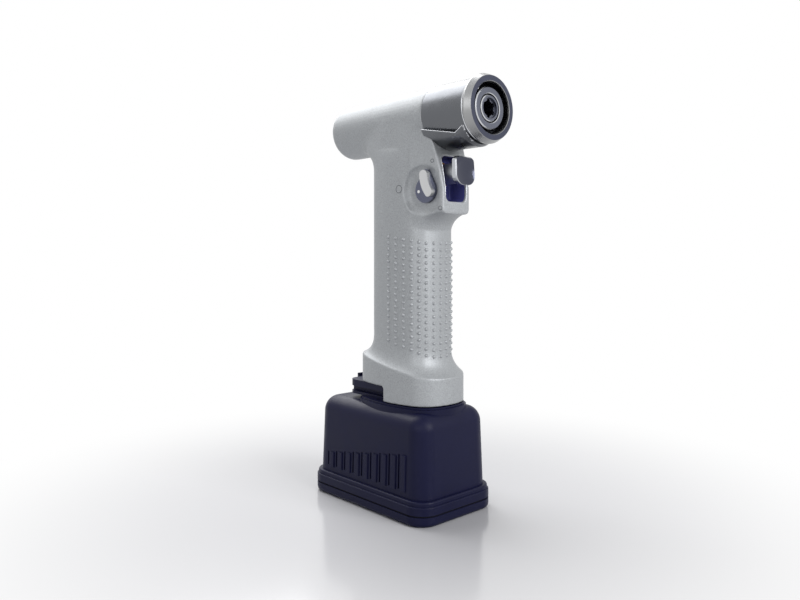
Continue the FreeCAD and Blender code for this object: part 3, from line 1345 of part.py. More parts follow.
def cell_straps():
    """Nickel straps across the cells' ends."""
    half = CELL_LENGTH / 2
    straps = []
    for row in range(CELL_ROWS):
        z = SEAM_Z - SEAM_GAP + HOLDER_HIGH + CELL_R - HOLDER_NEST + row * CELL_PITCH
        reach = CELL_PITCH * (CELL_COLUMNS - 1) / 2 + STRAP_HALF_WIDTH
        for side in (-1, 1):
            y0 = side * half
            y1 = side * (half + STRAP_THICK)
            straps.append(box(-reach, reach, min(y0, y1), max(y0, y1),
                              z - STRAP_HALF_WIDTH, z + STRAP_HALF_WIDTH))
    return Part.makeCompound(straps)


def pack_board():
    """Board above the cells."""
    top = max(z for x, z in cell_places()) + CELL_R
    return box(-PACK_BOARD_HALF_X, PACK_BOARD_HALF_X, -PACK_BOARD_HALF_Y, PACK_BOARD_HALF_Y,
               top, top + PACK_BOARD_THICK)


def terminals():
    """Contact clips on the floor of the tower's slots."""
    low = TOWER_TOP_Z - TOWER_SLOT_DEPTH
    clips = []
    for index in range(BLADE_COUNT):
        y = blade_y(index)
        half = TOWER_SLOT_WIDTH / 2 - CLIP_GAP
        front = BLADE_REAR_X + BLADE_LENGTH + CLIP_OVERRUN
        clips.append(box(BLADE_REAR_X - CLIP_OVERRUN, front, y - half, y + half, low, low + CLIP_THICK))
    return Part.makeCompound(clips)


def main():
    os.makedirs("parts", exist_ok=True)
    save("housing", housing())
    save("nose_sleeve", nose_sleeve())
    save("sleeve_seal", tube(BORE_R, SLEEVE_SPIGOT_R - SEAL_DEPTH, SEAL_X, SEAL_X + SEAL_WIDTH))
    save("coupling_ring", coupling_ring())
    save("collar_clip", collar_clip())
    save("collar", collar())
    save("lock_pin", lock_pin_shape(LOCK_PIN_R, 0))
    front_end = FRONT_BEARING_X
    rear_end = REAR_BEARING_X
    front_bore = SPINDLE_R + RACE_WALL + RUN
    rear_bore = SPINDLE_REAR_R + RACE_WALL + RUN
    save("front_bearing_outer", race(FRONT_BEARING_R, front_bore, front_end, FRONT_BEARING_WIDTH))
    save("rear_bearing_outer", race(REAR_BEARING_R, rear_bore, rear_end, REAR_BEARING_WIDTH))
    save("spindle_bearing_inners", Part.makeCompound([
        race(SPINDLE_R + RACE_WALL, SPINDLE_R, front_end, FRONT_BEARING_WIDTH),
        race(SPINDLE_REAR_R + RACE_WALL, SPINDLE_REAR_R, rear_end, REAR_BEARING_WIDTH)]))
    save("shaft_seal", tube(FRONT_BEARING_R - SEAL_STEP, SPINDLE_R + SPINDLE_STEP + RUN, SHAFT_SEAL_X,
                            SHAFT_SEAL_X + SHAFT_SEAL_WIDTH))
    save("drive_spindle", drive_spindle())
    save("planet_carrier", carrier())
    save("carrier_pins", carrier_pins())
    for index, (angle, y, z) in enumerate(planet_places()):
        gear = spur_gear(PLANET_TEETH, CARRIER_PIN_R + RUN, GEAR_REAR_X, GEAR_FACE, planet_phase(angle), y, z)
        save("planet_gear_" + str(index + 1), gear)
    save("ring_gear", ring_gear())
    save("sun_gear", spur_gear(SUN_TEETH, SUN_BORE, GEAR_REAR_X, GEAR_FACE, 0))
    save("rotor_shaft", rotor_shaft())
    save("rotor_magnet", rotor_magnet())
    seat = CAN_REAR_X + 1.0
    plate_seat = PLATE_FRONT_X - MOTOR_BEARING_WIDTH
    inner = MOTOR_SHAFT_R + RACE_WALL
    save("motor_rear_bearing", race(MOTOR_BEARING_R, inner + RUN, seat, MOTOR_BEARING_WIDTH))
    save("motor_front_bearing", race(MOTOR_BEARING_R, inner + RUN, plate_seat, MOTOR_BEARING_WIDTH))
    save("rotor_bearing_inners", Part.makeCompound([
        race(inner, MOTOR_SHAFT_R, seat, MOTOR_BEARING_WIDTH),
        race(inner, MOTOR_SHAFT_R, plate_seat, MOTOR_BEARING_WIDTH)]))
    save("motor_can", motor_can())
    save("motor_plate", motor_plate())
    save("stator_core", stator_core())
    save("stator_windings", windings())
    save("hall_board", hall_board())
    save("trigger_cap", trigger_cap())
    save("trigger_stem", trigger_stem())
    save("trigger_magnet", rod(MAGNET_R, STEM_END_X, STEM_END_X + MAGNET_LENGTH, 0, STEM_Z))
    save("trigger_bush", trigger_bush())
    save("trigger_module", trigger_module())
    save("trigger_spring", bellows(SPRING_OUT_R, SPRING_IN_R, SPRING_WALL, MODULE_FRONT_X,
                                   BUSH_REAR_X - STEM_FLANGE_THICK, SPRING_FOLDS, STEM_Z))
    save("selector_knob", knob())
    save("selector_pivot", knob_pivot(0, 0))
    save("selector_dot", knob_dot())
    save("selector_magnet", knob_magnet())
    save("control_board", control_board())
    save("power_transistors", transistors())
    save("capacitors", capacitors())
    save("contact_block", contact_block())
    save("contact_blades", Part.makeCompound([blade(index) for index in range(BLADE_COUNT)]))
    save("rail_shoe", rail_shoe())
    save("battery_tower", tower())
    save("latch_lever", latch_lever())
    save("latch_pin", latch_pin_shape(0))
    save("latch_spring", latch_spring())
    save("battery_case", battery_case())
    save("battery_gasket", gasket())
    save("battery_base", battery_base())
    save("base_screws", base_screws())
    save("battery_cells", cells())
    save("cell_holder", cell_holder())
    save("cell_straps", cell_straps())
    save("pack_board", pack_board())
    save("battery_terminals", terminals())


if __name__ == "__main__":
    main()
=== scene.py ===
import json
import math

import bpy
import numpy as np
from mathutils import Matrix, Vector
from mathutils.bvhtree import BVHTree


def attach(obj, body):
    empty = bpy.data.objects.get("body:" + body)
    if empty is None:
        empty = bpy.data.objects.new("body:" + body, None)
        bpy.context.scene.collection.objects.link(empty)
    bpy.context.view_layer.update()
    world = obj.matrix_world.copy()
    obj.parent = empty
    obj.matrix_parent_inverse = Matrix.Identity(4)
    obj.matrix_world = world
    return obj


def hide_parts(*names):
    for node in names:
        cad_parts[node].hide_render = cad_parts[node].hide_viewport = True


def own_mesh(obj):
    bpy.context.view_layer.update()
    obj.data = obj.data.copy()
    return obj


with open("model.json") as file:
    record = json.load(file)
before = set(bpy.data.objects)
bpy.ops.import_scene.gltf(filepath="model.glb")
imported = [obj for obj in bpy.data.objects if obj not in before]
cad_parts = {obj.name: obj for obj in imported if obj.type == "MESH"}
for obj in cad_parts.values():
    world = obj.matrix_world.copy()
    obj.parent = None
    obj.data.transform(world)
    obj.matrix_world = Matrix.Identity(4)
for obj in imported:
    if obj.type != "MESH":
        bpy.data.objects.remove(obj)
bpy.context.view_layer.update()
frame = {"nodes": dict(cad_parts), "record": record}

bl_info = {
    "name": "Surgical power handpiece",
    "version": (1, 0, 0),
    "blender": (4, 5, 0),
    "location": "3D View > Sidebar > Handpiece",
    "description": "Dresses the packed handpiece with its casting, grip, steel, battery and studio",
    "category": "Object",
}

MM = 0.001

# Lengths in millimetres, in the frame's axes
BARREL_Z = 208.9
BARREL_REAR_X = -45.3
BARREL_REAR_R = 15.4
BARREL_TAPER = 0.0064
GRIP_X = 9.9
GRIP_LENGTH = 44.0
GRIP_WIDTH = 33.4
FLOOR_HALF = 3000.0

# Radii of the grip's oval: the sides' as a share of its length, the ends' and corners' of its width
OVAL_SIDE = 1.25
OVAL_END = 0.78
OVAL_CORNER = 0.33

# Where the casting's forms flow together; a pair is where a ramp starts and ends
JUNCTION_REACH = (2.5, 6.5)
JUNCTION_TOP_Z = (204.0, 208.0)
JUNCTION_FRONT_X = (27.0, 31.0)
JUNCTION_REAR_X = (-36.0, -28.0)
BORE_R = (14.2, 14.9)
FLARE_Z = 87.3
FLARE_SLOPE = 0.177
FLARE_REACH = (2.0, 6.0)
FLARE_HALF_LENGTH = 20.5
FLARE_HALF_WIDTH = 15.2
FLARE_EDGE = (0.98, 1.04)

# Columns of bumps: distance along the grip's oval from its front, height of the top and of the lowest bump
BUMP_COLUMNS = ((0.0, 142.1, 82.1), (4.75, 142.1, 82.2), (9.25, 142.1, 83.1), (13.1, 142.7, 84.6),
                (17.3, 143.4, 86.3), (22.3, 144.1, 87.5), (27.7, 144.8, 88.4), (33.25, 145.6, 90.0))
BUMP_RAY = 8.0
BUMP_AROUND = 12

# A bump's rings, from its sunk foot up: share of its radius, share of its height
BUMP_PROFILE = ((1.1, -0.3), (1.0, 0.04), (0.8, 0.5), (0.45, 0.86))

# Ledge on the chin: its rear end, where it splits at the scooped facet, and its end at the collar
LEDGE_REAR = (33.0, 14.43, 198.6)
LEDGE_SPLIT = (54.5, 14.43, 198.6)
LEDGE_FRONT = (60.2, 13.9, 200.1)
LEDGE_FALL_X = (33.0, 54.5, 61.4)
LEDGE_FALL = (2.0, -2.1, 0.0)
LEDGE_MIDDLE_Z = 198.9
LEDGE_REACH = 6.5
LEDGE_ARM = 14.4
LEDGE_BEAD_R = 0.22
CHIN_AXIS_Z = BARREL_Z - 0.75
SLEEVE_SKIN_R = 15.5

# Mouth of the trigger pocket, the bead of painted highlight on its edge, the walls painted in shade, and the
# front of the block round it
POCKET_HALF = 7.6
POCKET_LOW = 163.6
POCKET_HIGH = 187.3
POCKET_CORNER = 3.2
POCKET_MIDDLE = 175.4
RIM_WIDER = 1.05
RIM_TALLER = 1.03
RIM_STEP = 0.6
RIM_BEAD_R = 0.24
RIM_BEAD_SINK = 0.08
RAY_FROM_X = 70.0
POCKET_WALL_HALF = 8.2
POCKET_WALL_Z = (162.9, 188.0)
POCKET_WALL_X = 5.0
POCKET_LIP = 0.9
BLOCK_FRONT_X = 43.2
BLOCK_LEAN_Z = 170.0
BLOCK_LEAN = 0.21

# Selector's dish floor, its outward direction, and the top of the knob's base over it, below which the knob
# is painted in shade
DISH_FLOOR = Vector((33.4, -11.3, 169.5))
DISH_OUTWARD = Vector((0.1045, -0.9945, 0.0))
KNOB_BASE_TOP = 2.15

# Plain rings on the casting's right side: name, x and z of the middle, radius
MARK_RINGS = (("mark_ring_rear", 16.8, 170.9, 2.0), ("mark_ring_low", 41.6, 160.0, 1.0),
              ("mark_ring_high", 37.2, 184.5, 0.9))
RING_POINTS = 28
RING_BEAD_R = 0.12
RAY_FROM_Y = -40.0

# Faces further forward than these are on the front of the nose and of the collar
NOSE_END_X = 60.0
COLLAR_FACE_X = 66.0

# Forward share of a face's direction: from one of the first two to FLAT a chamfer, over FLAT a flat end;
# these choose the faces that get painted highlights and painted reflections
SLEEVE_CHAMFER = 0.2
RING_CHAMFER = 0.3
FLAT = 0.97
TRIGGER_FACE = 0.86

# Angles in degrees
SHARP_ANGLE = 35.0
BUMP_SHARP_ANGLE = 60.0

# Lengths in metres: the height the lamps aim at, and where the floor turns white
AIM_HEIGHT = 0.12
FADE_START = 0.07
FADE_END = 0.27

# Strength of the white surround as light; the eye sees it at 1
SURROUND_LIGHT = 0.25


# Sizes and colours that a user would change

class GripSizes(bpy.types.PropertyGroup):
    # The photograph suggests bumps about 0.55 mm high; they are drawn taller, so that they show
    bump_radius: bpy.props.FloatProperty(
        name="Bump radius", description="Radius of a grip bump at its foot",
        default=0.00095, unit="LENGTH")
    bump_height: bpy.props.FloatProperty(
        name="Bump height", description="How far a grip bump stands proud",
        default=0.0008, unit="LENGTH")
    rows: bpy.props.IntProperty(
        name="Rows", description="Rows of bumps up the grip", default=18, min=1)


class CastingSizes(bpy.types.PropertyGroup):
    voxel: bpy.props.FloatProperty(
        name="Skin pitch", description="Mesh spacing of the cast housing",
        default=0.00055, unit="LENGTH")
    blend_rounds: bpy.props.IntProperty(
        name="Blend rounds", description="Smoothing rounds where barrel and grip flow together",
        default=60, min=0)


class Finishes(bpy.types.PropertyGroup):
    coat: bpy.props.StringProperty(
        name="Silver coat", description="Colour of the coated casting, sRGB hex", default="a0a3a6")
    sleeve: bpy.props.StringProperty(
        name="Sleeve steel", description="Colour of the turned sleeve, sRGB hex", default="66686c")
    collar: bpy.props.StringProperty(
        name="Collar steel", description="Colour of the turned collar, sRGB hex", default="9a9b9c")
    # Navy as in the photograph, where blue light may be what makes a black plastic look so
    case: bpy.props.StringProperty(
        name="Battery plastic", description="Colour of the battery case, sRGB hex", default="0a0c2a")
    seal: bpy.props.StringProperty(
        name="Seal rubber", description="Colour of the seals, sRGB hex", default="0c0c10")


class StageSettings(bpy.types.PropertyGroup):
    camera_lens: bpy.props.FloatProperty(
        name="Lens", description="Focal length of the camera in millimetres",
        default=32.67, unit="CAMERA")
    camera_height: bpy.props.FloatProperty(
        name="Camera height", description="Height of the camera over the floor",
        default=0.1362, unit="LENGTH")
    camera_distance: bpy.props.FloatProperty(
        name="Camera distance", description="Distance of the camera from the battery's centre line",
        default=0.409, unit="LENGTH")
    camera_turn: bpy.props.FloatProperty(
        name="Camera turn", description="Azimuth of the camera round the handpiece",
        default=math.radians(47.4), subtype="ANGLE")
    camera_drop: bpy.props.FloatProperty(
        name="Camera shift", description="Vertical shift of the lens as a share of the frame's width",
        default=-0.0569)
    key_power: bpy.props.FloatProperty(
        name="Key power", description="Power of the softbox at the camera's right",
        default=8.0, unit="POWER")
    rear_power: bpy.props.FloatProperty(
        name="Rear power", description="Power of the softbox above and behind",
        default=8.5, unit="POWER")
    fill_power: bpy.props.FloatProperty(
        name="Fill power", description="Power of the softbox at the camera's left",
        default=2.0, unit="POWER")


def settings(name):
    """One of the scene's property groups."""
    return getattr(bpy.context.scene, name)


# Materials

def linear(text):
    """An sRGB hex colour as linear red, green, blue and alpha."""
    made = []
    for at in (0, 2, 4):
        value = int(text[at:at + 2], 16) / 255
        made.append(value / 12.92 if value <= 0.04045 else ((value + 0.055) / 1.055) ** 2.4)
    return (*made, 1.0)


def add_node(tree, kind, options=None, inputs=None):
    """A node with its options, input values and links; a link is a (node, output) pair."""
    node = tree.nodes.new(kind)
    for name, value in (options or {}).items():
        setattr(node, name, value)
    for name, value in (inputs or {}).items():
        if isinstance(value, tuple) and isinstance(value[0], bpy.types.Node):
            tree.links.new(value[0].outputs[value[1]], node.inputs[name])
        else:
            node.inputs[name].default_value = value
    return node


def new_material(name, shader_inputs):
    """An empty material with one principled shader; returns material, tree, shader and object coordinates."""
    material = bpy.data.materials.new(name)
    material.use_nodes = True
    tree = material.node_tree
    tree.nodes.clear()
    shader = add_node(tree, "ShaderNodeBsdfPrincipled", inputs=shader_inputs)
    add_node(tree, "ShaderNodeOutputMaterial", inputs={"Surface": (shader, "BSDF")})
    place = add_node(tree, "ShaderNodeTexCoord")
    return material, tree, shader, place


def per_mm(size):
    """Noise scale, in repeats per metre, for a pattern whose grains are size millimetres apart."""
    return 1.0 / (size * MM)


def mixed(tree, share, one, other):
    """A colour mixed from one to other by a share.

    Inputs 0, 6 and 7 are the share and the two colours, and output 2 is the mixed colour."""
    return add_node(tree, "ShaderNodeMix", {"data_type": "RGBA"}, {0: share, 6: one, 7: other})


def ranged(tree, source, low, high, start=0.0, end=1.0):
    """A value moved from the span start to end into the span low to high."""
    return add_node(tree, "ShaderNodeMapRange", None, {
        "Value": source, "From Min": start, "From Max": end, "To Min": low, "To Max": high})


def seen_directly(tree):
    """1 for what the eye sees straight, mirrored or through glass, and 0 for light that falls on things."""
    path = add_node(tree, "ShaderNodeLightPath")
    seen = add_node(tree, "ShaderNodeMath", {"operation": "MAXIMUM"}, {
        0: (path, "Is Camera Ray"), 1: (path, "Is Glossy Ray")})
    shown = add_node(tree, "ShaderNodeMath", {"operation": "MAXIMUM"}, {
        0: (seen, "Value"), 1: (path, "Is Transmission Ray")})
    return (shown, "Value")


def coated_aluminium():
    """Cast aluminium, bead blasted and given a satin silver coat: soft, even, with a fine sparkle.

    The blasting's grain is drawn at 0.55 mm, coarser than real blasting, so that it shows."""
    material, tree, shader, place = new_material("coated_cast_aluminium_satin", {
        "Metallic": 0.35, "Specular IOR Level": 0.3})
    tone = linear(settings("finishes").coat)
    dark = tuple(0.78 * c for c in tone[:3]) + (1.0,)
    pale = tuple(min(1.0, 1.16 * c) for c in tone[:3]) + (1.0,)
    grain = add_node(tree, "ShaderNodeTexNoise", None, {
        "Vector": (place, "Object"), "Scale": per_mm(0.55), "Detail": 3.0, "Roughness": 0.65})
    cloud = add_node(tree, "ShaderNodeTexNoise", None, {
        "Vector": (place, "Object"), "Scale": per_mm(16.0), "Detail": 2.0})
    speckle = ranged(tree, (grain, "Fac"), 0.0, 1.0, 0.3, 0.7)
    base = mixed(tree, (speckle, "Result"), dark, pale)
    tree.links.new(base.outputs[2], shader.inputs["Base Color"])
    rough = ranged(tree, (cloud, "Fac"), 0.42, 0.52)
    tree.links.new(rough.outputs["Result"], shader.inputs["Roughness"])
    bump = add_node(tree, "ShaderNodeBump", None, {
        "Height": (grain, "Fac"), "Strength": 0.2, "Distance": 0.0001})
    tree.links.new(bump.outputs["Normal"], shader.inputs["Normal"])
    return material


def turned_steel(name, tone_hex, rough_low, rough_high, lines=0.35):
    """Metal turned, ground or rolled: fine lines across the barrel's axis that soften its highlights.

    Finish turning leaves them about 0.1 mm apart; they are drawn wider apart, so that they show."""
    material, tree, shader, place = new_material(name, {"Metallic": 1.0})
    tone = linear(tone_hex)
    dark = tuple(0.93 * c for c in tone[:3]) + (1.0,)
    stretch = add_node(tree, "ShaderNodeMapping", None, {
        "Vector": (place, "Object"), "Scale": (per_mm(lines), per_mm(30.0), per_mm(30.0))})
    rings = add_node(tree, "ShaderNodeTexNoise", None, {
        "Vector": (stretch, "Vector"), "Scale": 1.0, "Detail": 4.0, "Roughness": 0.65})
    cloud = add_node(tree, "ShaderNodeTexNoise", None, {
        "Vector": (place, "Object"), "Scale": per_mm(7.0), "Detail": 3.0})
    base = mixed(tree, (rings, "Fac"), dark, tone)
    tree.links.new(base.outputs[2], shader.inputs["Base Color"])
    rough = ranged(tree, (cloud, "Fac"), rough_low, rough_high, 0.3, 0.7)
    tree.links.new(rough.outputs["Result"], shader.inputs["Roughness"])
    bump = add_node(tree, "ShaderNodeBump", None, {
        "Height": (rings, "Fac"), "Strength": 0.025, "Distance": 0.0001})
    tree.links.new(bump.outputs["Normal"], shader.inputs["Normal"])
    return material


def polished_steel(name, tone_hex, rough=0.12):
    """Polished or plated metal: crisp reflections with a faint haze of handling."""
    material, tree, shader, place = new_material(name, {
        "Metallic": 1.0, "Base Color": linear(tone_hex)})
    haze = add_node(tree, "ShaderNodeTexNoise", None, {
        "Vector": (place, "Object"), "Scale": per_mm(3.0), "Detail": 4.0})
    rough_map = ranged(tree, (haze, "Fac"), rough, rough + 0.1, 0.3, 0.7)
    tree.links.new(rough_map.outputs["Result"], shader.inputs["Roughness"])
    return material


def moulded_plastic(name, tone_hex, rough=0.42, grain_mm=0.45, bump_strength=0.2):
    """Plastic from a spark-eroded mould, and other dull skins: a fine even grain with a soft sheen.

    The grain is drawn coarser than a real mould's, so that it shows."""
    material, tree, shader, place = new_material(name, {"Metallic": 0.0, "Specular IOR Level": 0.15})
    tone = linear(tone_hex)
    pale = tuple(min(1.0, 1.25 * c + 0.002) for c in tone[:3]) + (1.0,)
    grain = add_node(tree, "ShaderNodeTexNoise", None, {
        "Vector": (place, "Object"), "Scale": per_mm(grain_mm), "Detail": 2.0, "Roughness": 0.5})
    cloud = add_node(tree, "ShaderNodeTexNoise", None, {
        "Vector": (place, "Object"), "Scale": per_mm(12.0), "Detail": 3.0})
    base = mixed(tree, (cloud, "Fac"), tone, pale)
    tree.links.new(base.outputs[2], shader.inputs["Base Color"])
    rough_map = ranged(tree, (cloud, "Fac"), rough - 0.05, rough + 0.06, 0.3, 0.7)
    tree.links.new(rough_map.outputs["Result"], shader.inputs["Roughness"])
    bump = add_node(tree, "ShaderNodeBump", None, {
        "Height": (grain, "Fac"), "Strength": bump_strength, "Distance": 0.00008})
    tree.links.new(bump.outputs["Normal"], shader.inputs["Normal"])
    return material


def rubber(name, tone_hex):
    """Moulded rubber: matt and nearly black, a little paler in patches."""
    return moulded_plastic(name, tone_hex, 0.75, 0.8, 0.1)


# Meshes

def link(obj):
    """Put an object into the scene."""
    bpy.context.scene.collection.objects.link(obj)
    return obj


def dress(node, material):
    """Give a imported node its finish, smooth where its facets meet at a small angle."""
    obj = frame["nodes"][node]
    obj.data.materials.clear()
    obj.data.materials.append(material)
    soften(obj.data, SHARP_ANGLE)
    return obj


def paint_faces(obj, material, chosen):
    """Give another finish to the faces whose middle, in millimetres, and direction pass a test."""
    slot = len(obj.data.materials)
    obj.data.materials.append(material)
    for face in obj.data.polygons:
        if chosen(face.center / MM, face.normal):
            face.material_index = slot


def skin_points(obj, starts, ways):
    """Where rays from points in millimetres meet a piece, each with the skin's outward direction there."""
    corners = [vertex.co for vertex in obj.data.vertices]
    tree = BVHTree.FromPolygons(corners, [tuple(face.vertices) for face in obj.data.polygons])
    found = []
    for point, way in zip(starts, ways):
        spot, normal, _, _ = tree.ray_cast(Vector(point) * MM, Vector(way).normalized())
        if spot is None:
            raise ValueError(f"no skin of {obj.name} ahead of {tuple(point)}")
        found.append((spot / MM, normal))
    return found


def stand_in(name, node, body, material):
    """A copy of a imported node, free to change its shape, that stands for the node."""
    piece = link(bpy.data.objects.new(name, frame["nodes"][node].data.copy()))
    piece.data.materials.clear()
    piece.data.materials.append(material)
    soften(piece.data, SHARP_ANGLE)
    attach(piece, body)
    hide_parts(node)
    return piece


def bead(name, points, radius, material, closed=True):
    """A thin round line through points in millimetres, for a painted highlight along an edge or a mark on the
    skin.
    """
    curve = bpy.data.curves.new(name, "CURVE")
    curve.dimensions = "3D"
    curve.bevel_depth = radius * MM
    curve.bevel_resolution = 2
    spline = curve.splines.new("POLY")
    spline.points.add(len(points) - 1)
    for at, point in zip(spline.points, points):
        at.co = (*(Vector(point) * MM), 1.0)
    spline.use_cyclic_u = closed
    curve.materials.append(material)
    piece = link(bpy.data.objects.new(name, curve))
    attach(piece, "handpiece")
    return piece


def soften(mesh, angle):
    """Smooth shading with sharp edges kept where two faces meet at more than an angle."""
    mesh.polygons.foreach_set("use_smooth", [True] * len(mesh.polygons))
    mesh.set_sharp_from_angle(angle=math.radians(angle))
    mesh.update()


def mesh_object(name, verts, faces, material, angle=SHARP_ANGLE):
    """A piece from vertices in millimetres and faces."""
    mesh = bpy.data.meshes.new(name)
    mesh.from_pydata([Vector(v) * MM for v in verts], [], faces)
    mesh.validate()
    mesh.materials.append(material)
    obj = link(bpy.data.objects.new(name, mesh))
    soften(mesh, angle)
    return obj


def smooth_step(value, start, end):
    """0 before start, 1 after end, and a smooth ramp between."""
    share = np.clip((value - start) / (end - start), 0.0, 1.0)
    return share * share * (3.0 - 2.0 * share)


def relax(points, edges, weight, rounds):
    """Move each point towards the middle of its neighbours, as far as its weight says."""
    count = np.bincount(edges.ravel(), minlength=len(points)).astype(float)[:, None]
    for _ in range(rounds):
        total = np.zeros_like(points)
        np.add.at(total, edges[:, 0], points[edges[:, 1]])
        np.add.at(total, edges[:, 1], points[edges[:, 0]])
        points = points + (total / np.maximum(count, 1.0) - points) * weight[:, None] * 0.5
    return points


def oval_point(length, width, along):
    """Point on the grip's oval and its outward direction, at a distance along it from the front middle."""
    side_r = OVAL_SIDE * length
    end_r = OVAL_END * width
    corner_r = OVAL_CORNER * width
    side = (0.0, width / 2 - side_r)
    end = (length / 2 - end_r, 0.0)
    gap = math.dist(side, end)
    near = side_r - corner_r
    far = end_r - corner_r
    part = (gap * gap + near * near - far * far) / (2 * gap)
    aside = math.sqrt(near * near - part * part)
    ux = (end[0] - side[0]) / gap
    uy = (end[1] - side[1]) / gap
    corner = max((side[0] + ux * part - uy * aside, side[1] + uy * part + ux * aside),
                 (side[0] + ux * part + uy * aside, side[1] + uy * part - ux * aside))
    lean = math.atan2(corner[1] - side[1], corner[0] - side[0])
    turn = math.atan2(corner[1] - end[1], corner[0] - end[0])
    left = abs(along)
    runs = ((end, end_r, 0.0, turn), (corner, corner_r, turn, lean), (side, side_r, lean, math.pi - lean))
    for middle, radius, start, stop in runs:
        span = radius * (stop - start)
        if left <= span:
            angle = start + left / radius
            break
        left -= span
    sign = 1.0 if along < 0 else -1.0
    x = middle[0] + radius * math.cos(angle)
    y = sign * (middle[1] + radius * math.sin(angle))
    return (GRIP_X + x, y), (math.cos(angle), sign * math.sin(angle))


class HANDPIECE_OT_casting(bpy.types.Operator):
    """Cast housing with its barrel, grip and trigger block flowing into each other"""
    bl_idname = "handpiece.casting"
    bl_label = "Cast housing"

    def execute(self, context):
        sizes = settings("casting_sizes")
        source = frame["nodes"]["housing"]
        rough = link(bpy.data.objects.new("housing_rough", source.data.copy()))
        skin = rough.modifiers.new("even_skin", "REMESH")
        skin.mode = "VOXEL"
        skin.voxel_size = sizes.voxel
        graph = context.evaluated_depsgraph_get()
        mesh = bpy.data.meshes.new_from_object(rough.evaluated_get(graph))
        bpy.data.objects.remove(rough)
        mesh.name = "housing_casting"
        count = len(mesh.vertices)
        points = np.zeros(count * 3)
        mesh.vertices.foreach_get("co", points)
        points = points.reshape(-1, 3) / MM
        edges = np.zeros(len(mesh.edges) * 2, int)
        mesh.edges.foreach_get("vertices", edges)
        edges = edges.reshape(-1, 2)
        weight = self.blend_weight(points)
        points = relax(points, edges, np.full(count, 0.5), 2)
        points = relax(points, edges, weight, sizes.blend_rounds)
        mesh.vertices.foreach_set("co", (points * MM).ravel())
        mesh.materials.clear()
        mesh.materials.append(coated_aluminium())
        mesh.polygons.foreach_set("use_smooth", [True] * len(mesh.polygons))
        mesh.update()
        casting = link(bpy.data.objects.new("housing_casting", mesh))
        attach(casting, "handpiece")
        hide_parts("housing")
        return {"FINISHED"}

    def blend_weight(self, points):
        """1 where the forms flow together, 0 along the parts' own edges."""
        x, y, z = points.T
        reach = np.hypot(y, z - BARREL_Z)
        barrel_r = BARREL_REAR_R + (x - BARREL_REAR_X) * BARREL_TAPER
        near_barrel = 1 - smooth_step(np.abs(reach - barrel_r), *JUNCTION_REACH)
        under = 1 - smooth_step(z, *JUNCTION_TOP_Z)
        clear_of_nose = 1 - smooth_step(x, *JUNCTION_FRONT_X)
        inside_end = smooth_step(x, *JUNCTION_REAR_X)
        junction = near_barrel * under * clear_of_nose * inside_end
        outside_bore = smooth_step(reach, *BORE_R)
        flare_top = FLARE_Z - FLARE_SLOPE * (x - GRIP_X)
        flare = 1 - smooth_step(np.abs(z - flare_top), *FLARE_REACH)
        out = np.hypot((x - GRIP_X) / FLARE_HALF_LENGTH, y / FLARE_HALF_WIDTH)
        flare = flare * smooth_step(out, *FLARE_EDGE)
        return np.maximum(junction * outside_bore, flare)


class HANDPIECE_OT_grip_bumps(bpy.types.Operator):
    """Rows of small raised dots round the front and sides of the grip"""
    bl_idname = "handpiece.grip_bumps"
    bl_label = "Grip bumps"

    def execute(self, context):
        sizes = settings("grip_sizes")
        casting = bpy.data.objects["housing_casting"]
        columns = [BUMP_COLUMNS[0]]
        for place, top, bottom in BUMP_COLUMNS[1:]:
            columns += [(place, top, bottom), (-place, top, bottom)]
        radius = sizes.bump_radius / MM
        height = sizes.bump_height / MM
        starts = []
        ways = []
        for along, top, bottom in columns:
            (x, y), (nx, ny) = oval_point(GRIP_LENGTH, GRIP_WIDTH, along)
            for row in range(sizes.rows):
                z = top + (bottom - top) * row / (sizes.rows - 1)
                starts.append((x + BUMP_RAY * nx, y + BUMP_RAY * ny, z))
                ways.append((-nx, -ny, 0.0))
        verts = []
        faces = []
        for spot, normal in skin_points(casting, starts, ways):
            self.add_bump(verts, faces, spot, normal, radius, height)
        coat = bpy.data.materials["coated_cast_aluminium_satin"]
        bumps = mesh_object("grip_bumps", verts, faces, coat, BUMP_SHARP_ANGLE)
        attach(bumps, "handpiece")
        return {"FINISHED"}

    def add_bump(self, verts, faces, at, out, radius, height):
        """One domed dot, sunk a little into the grip."""
        around = BUMP_AROUND
        start = len(verts)
        side = Vector((0.0, 0.0, 1.0)).cross(out).normalized()
        up = out.cross(side)
        for share, lift in BUMP_PROFILE:
            for step in range(around):
                angle = 2 * math.pi * step / around
                reach = (side * math.cos(angle) + up * math.sin(angle)) * radius * share
                verts.append(at + reach + out * height * lift)
        verts.append(at + out * height)
        for ring in range(len(BUMP_PROFILE) - 1):
            for step in range(around):
                a = start + ring * around + step
                b = start + ring * around + (step + 1) % around
                faces.append((a, b, b + around, a + around))
        last = start + (len(BUMP_PROFILE) - 1) * around
        for step in range(around):
            faces.append((last + step, last + (step + 1) % around, len(verts) - 1))
        foot = [start + step for step in range(around)]
        faces.append(tuple(reversed(foot)))


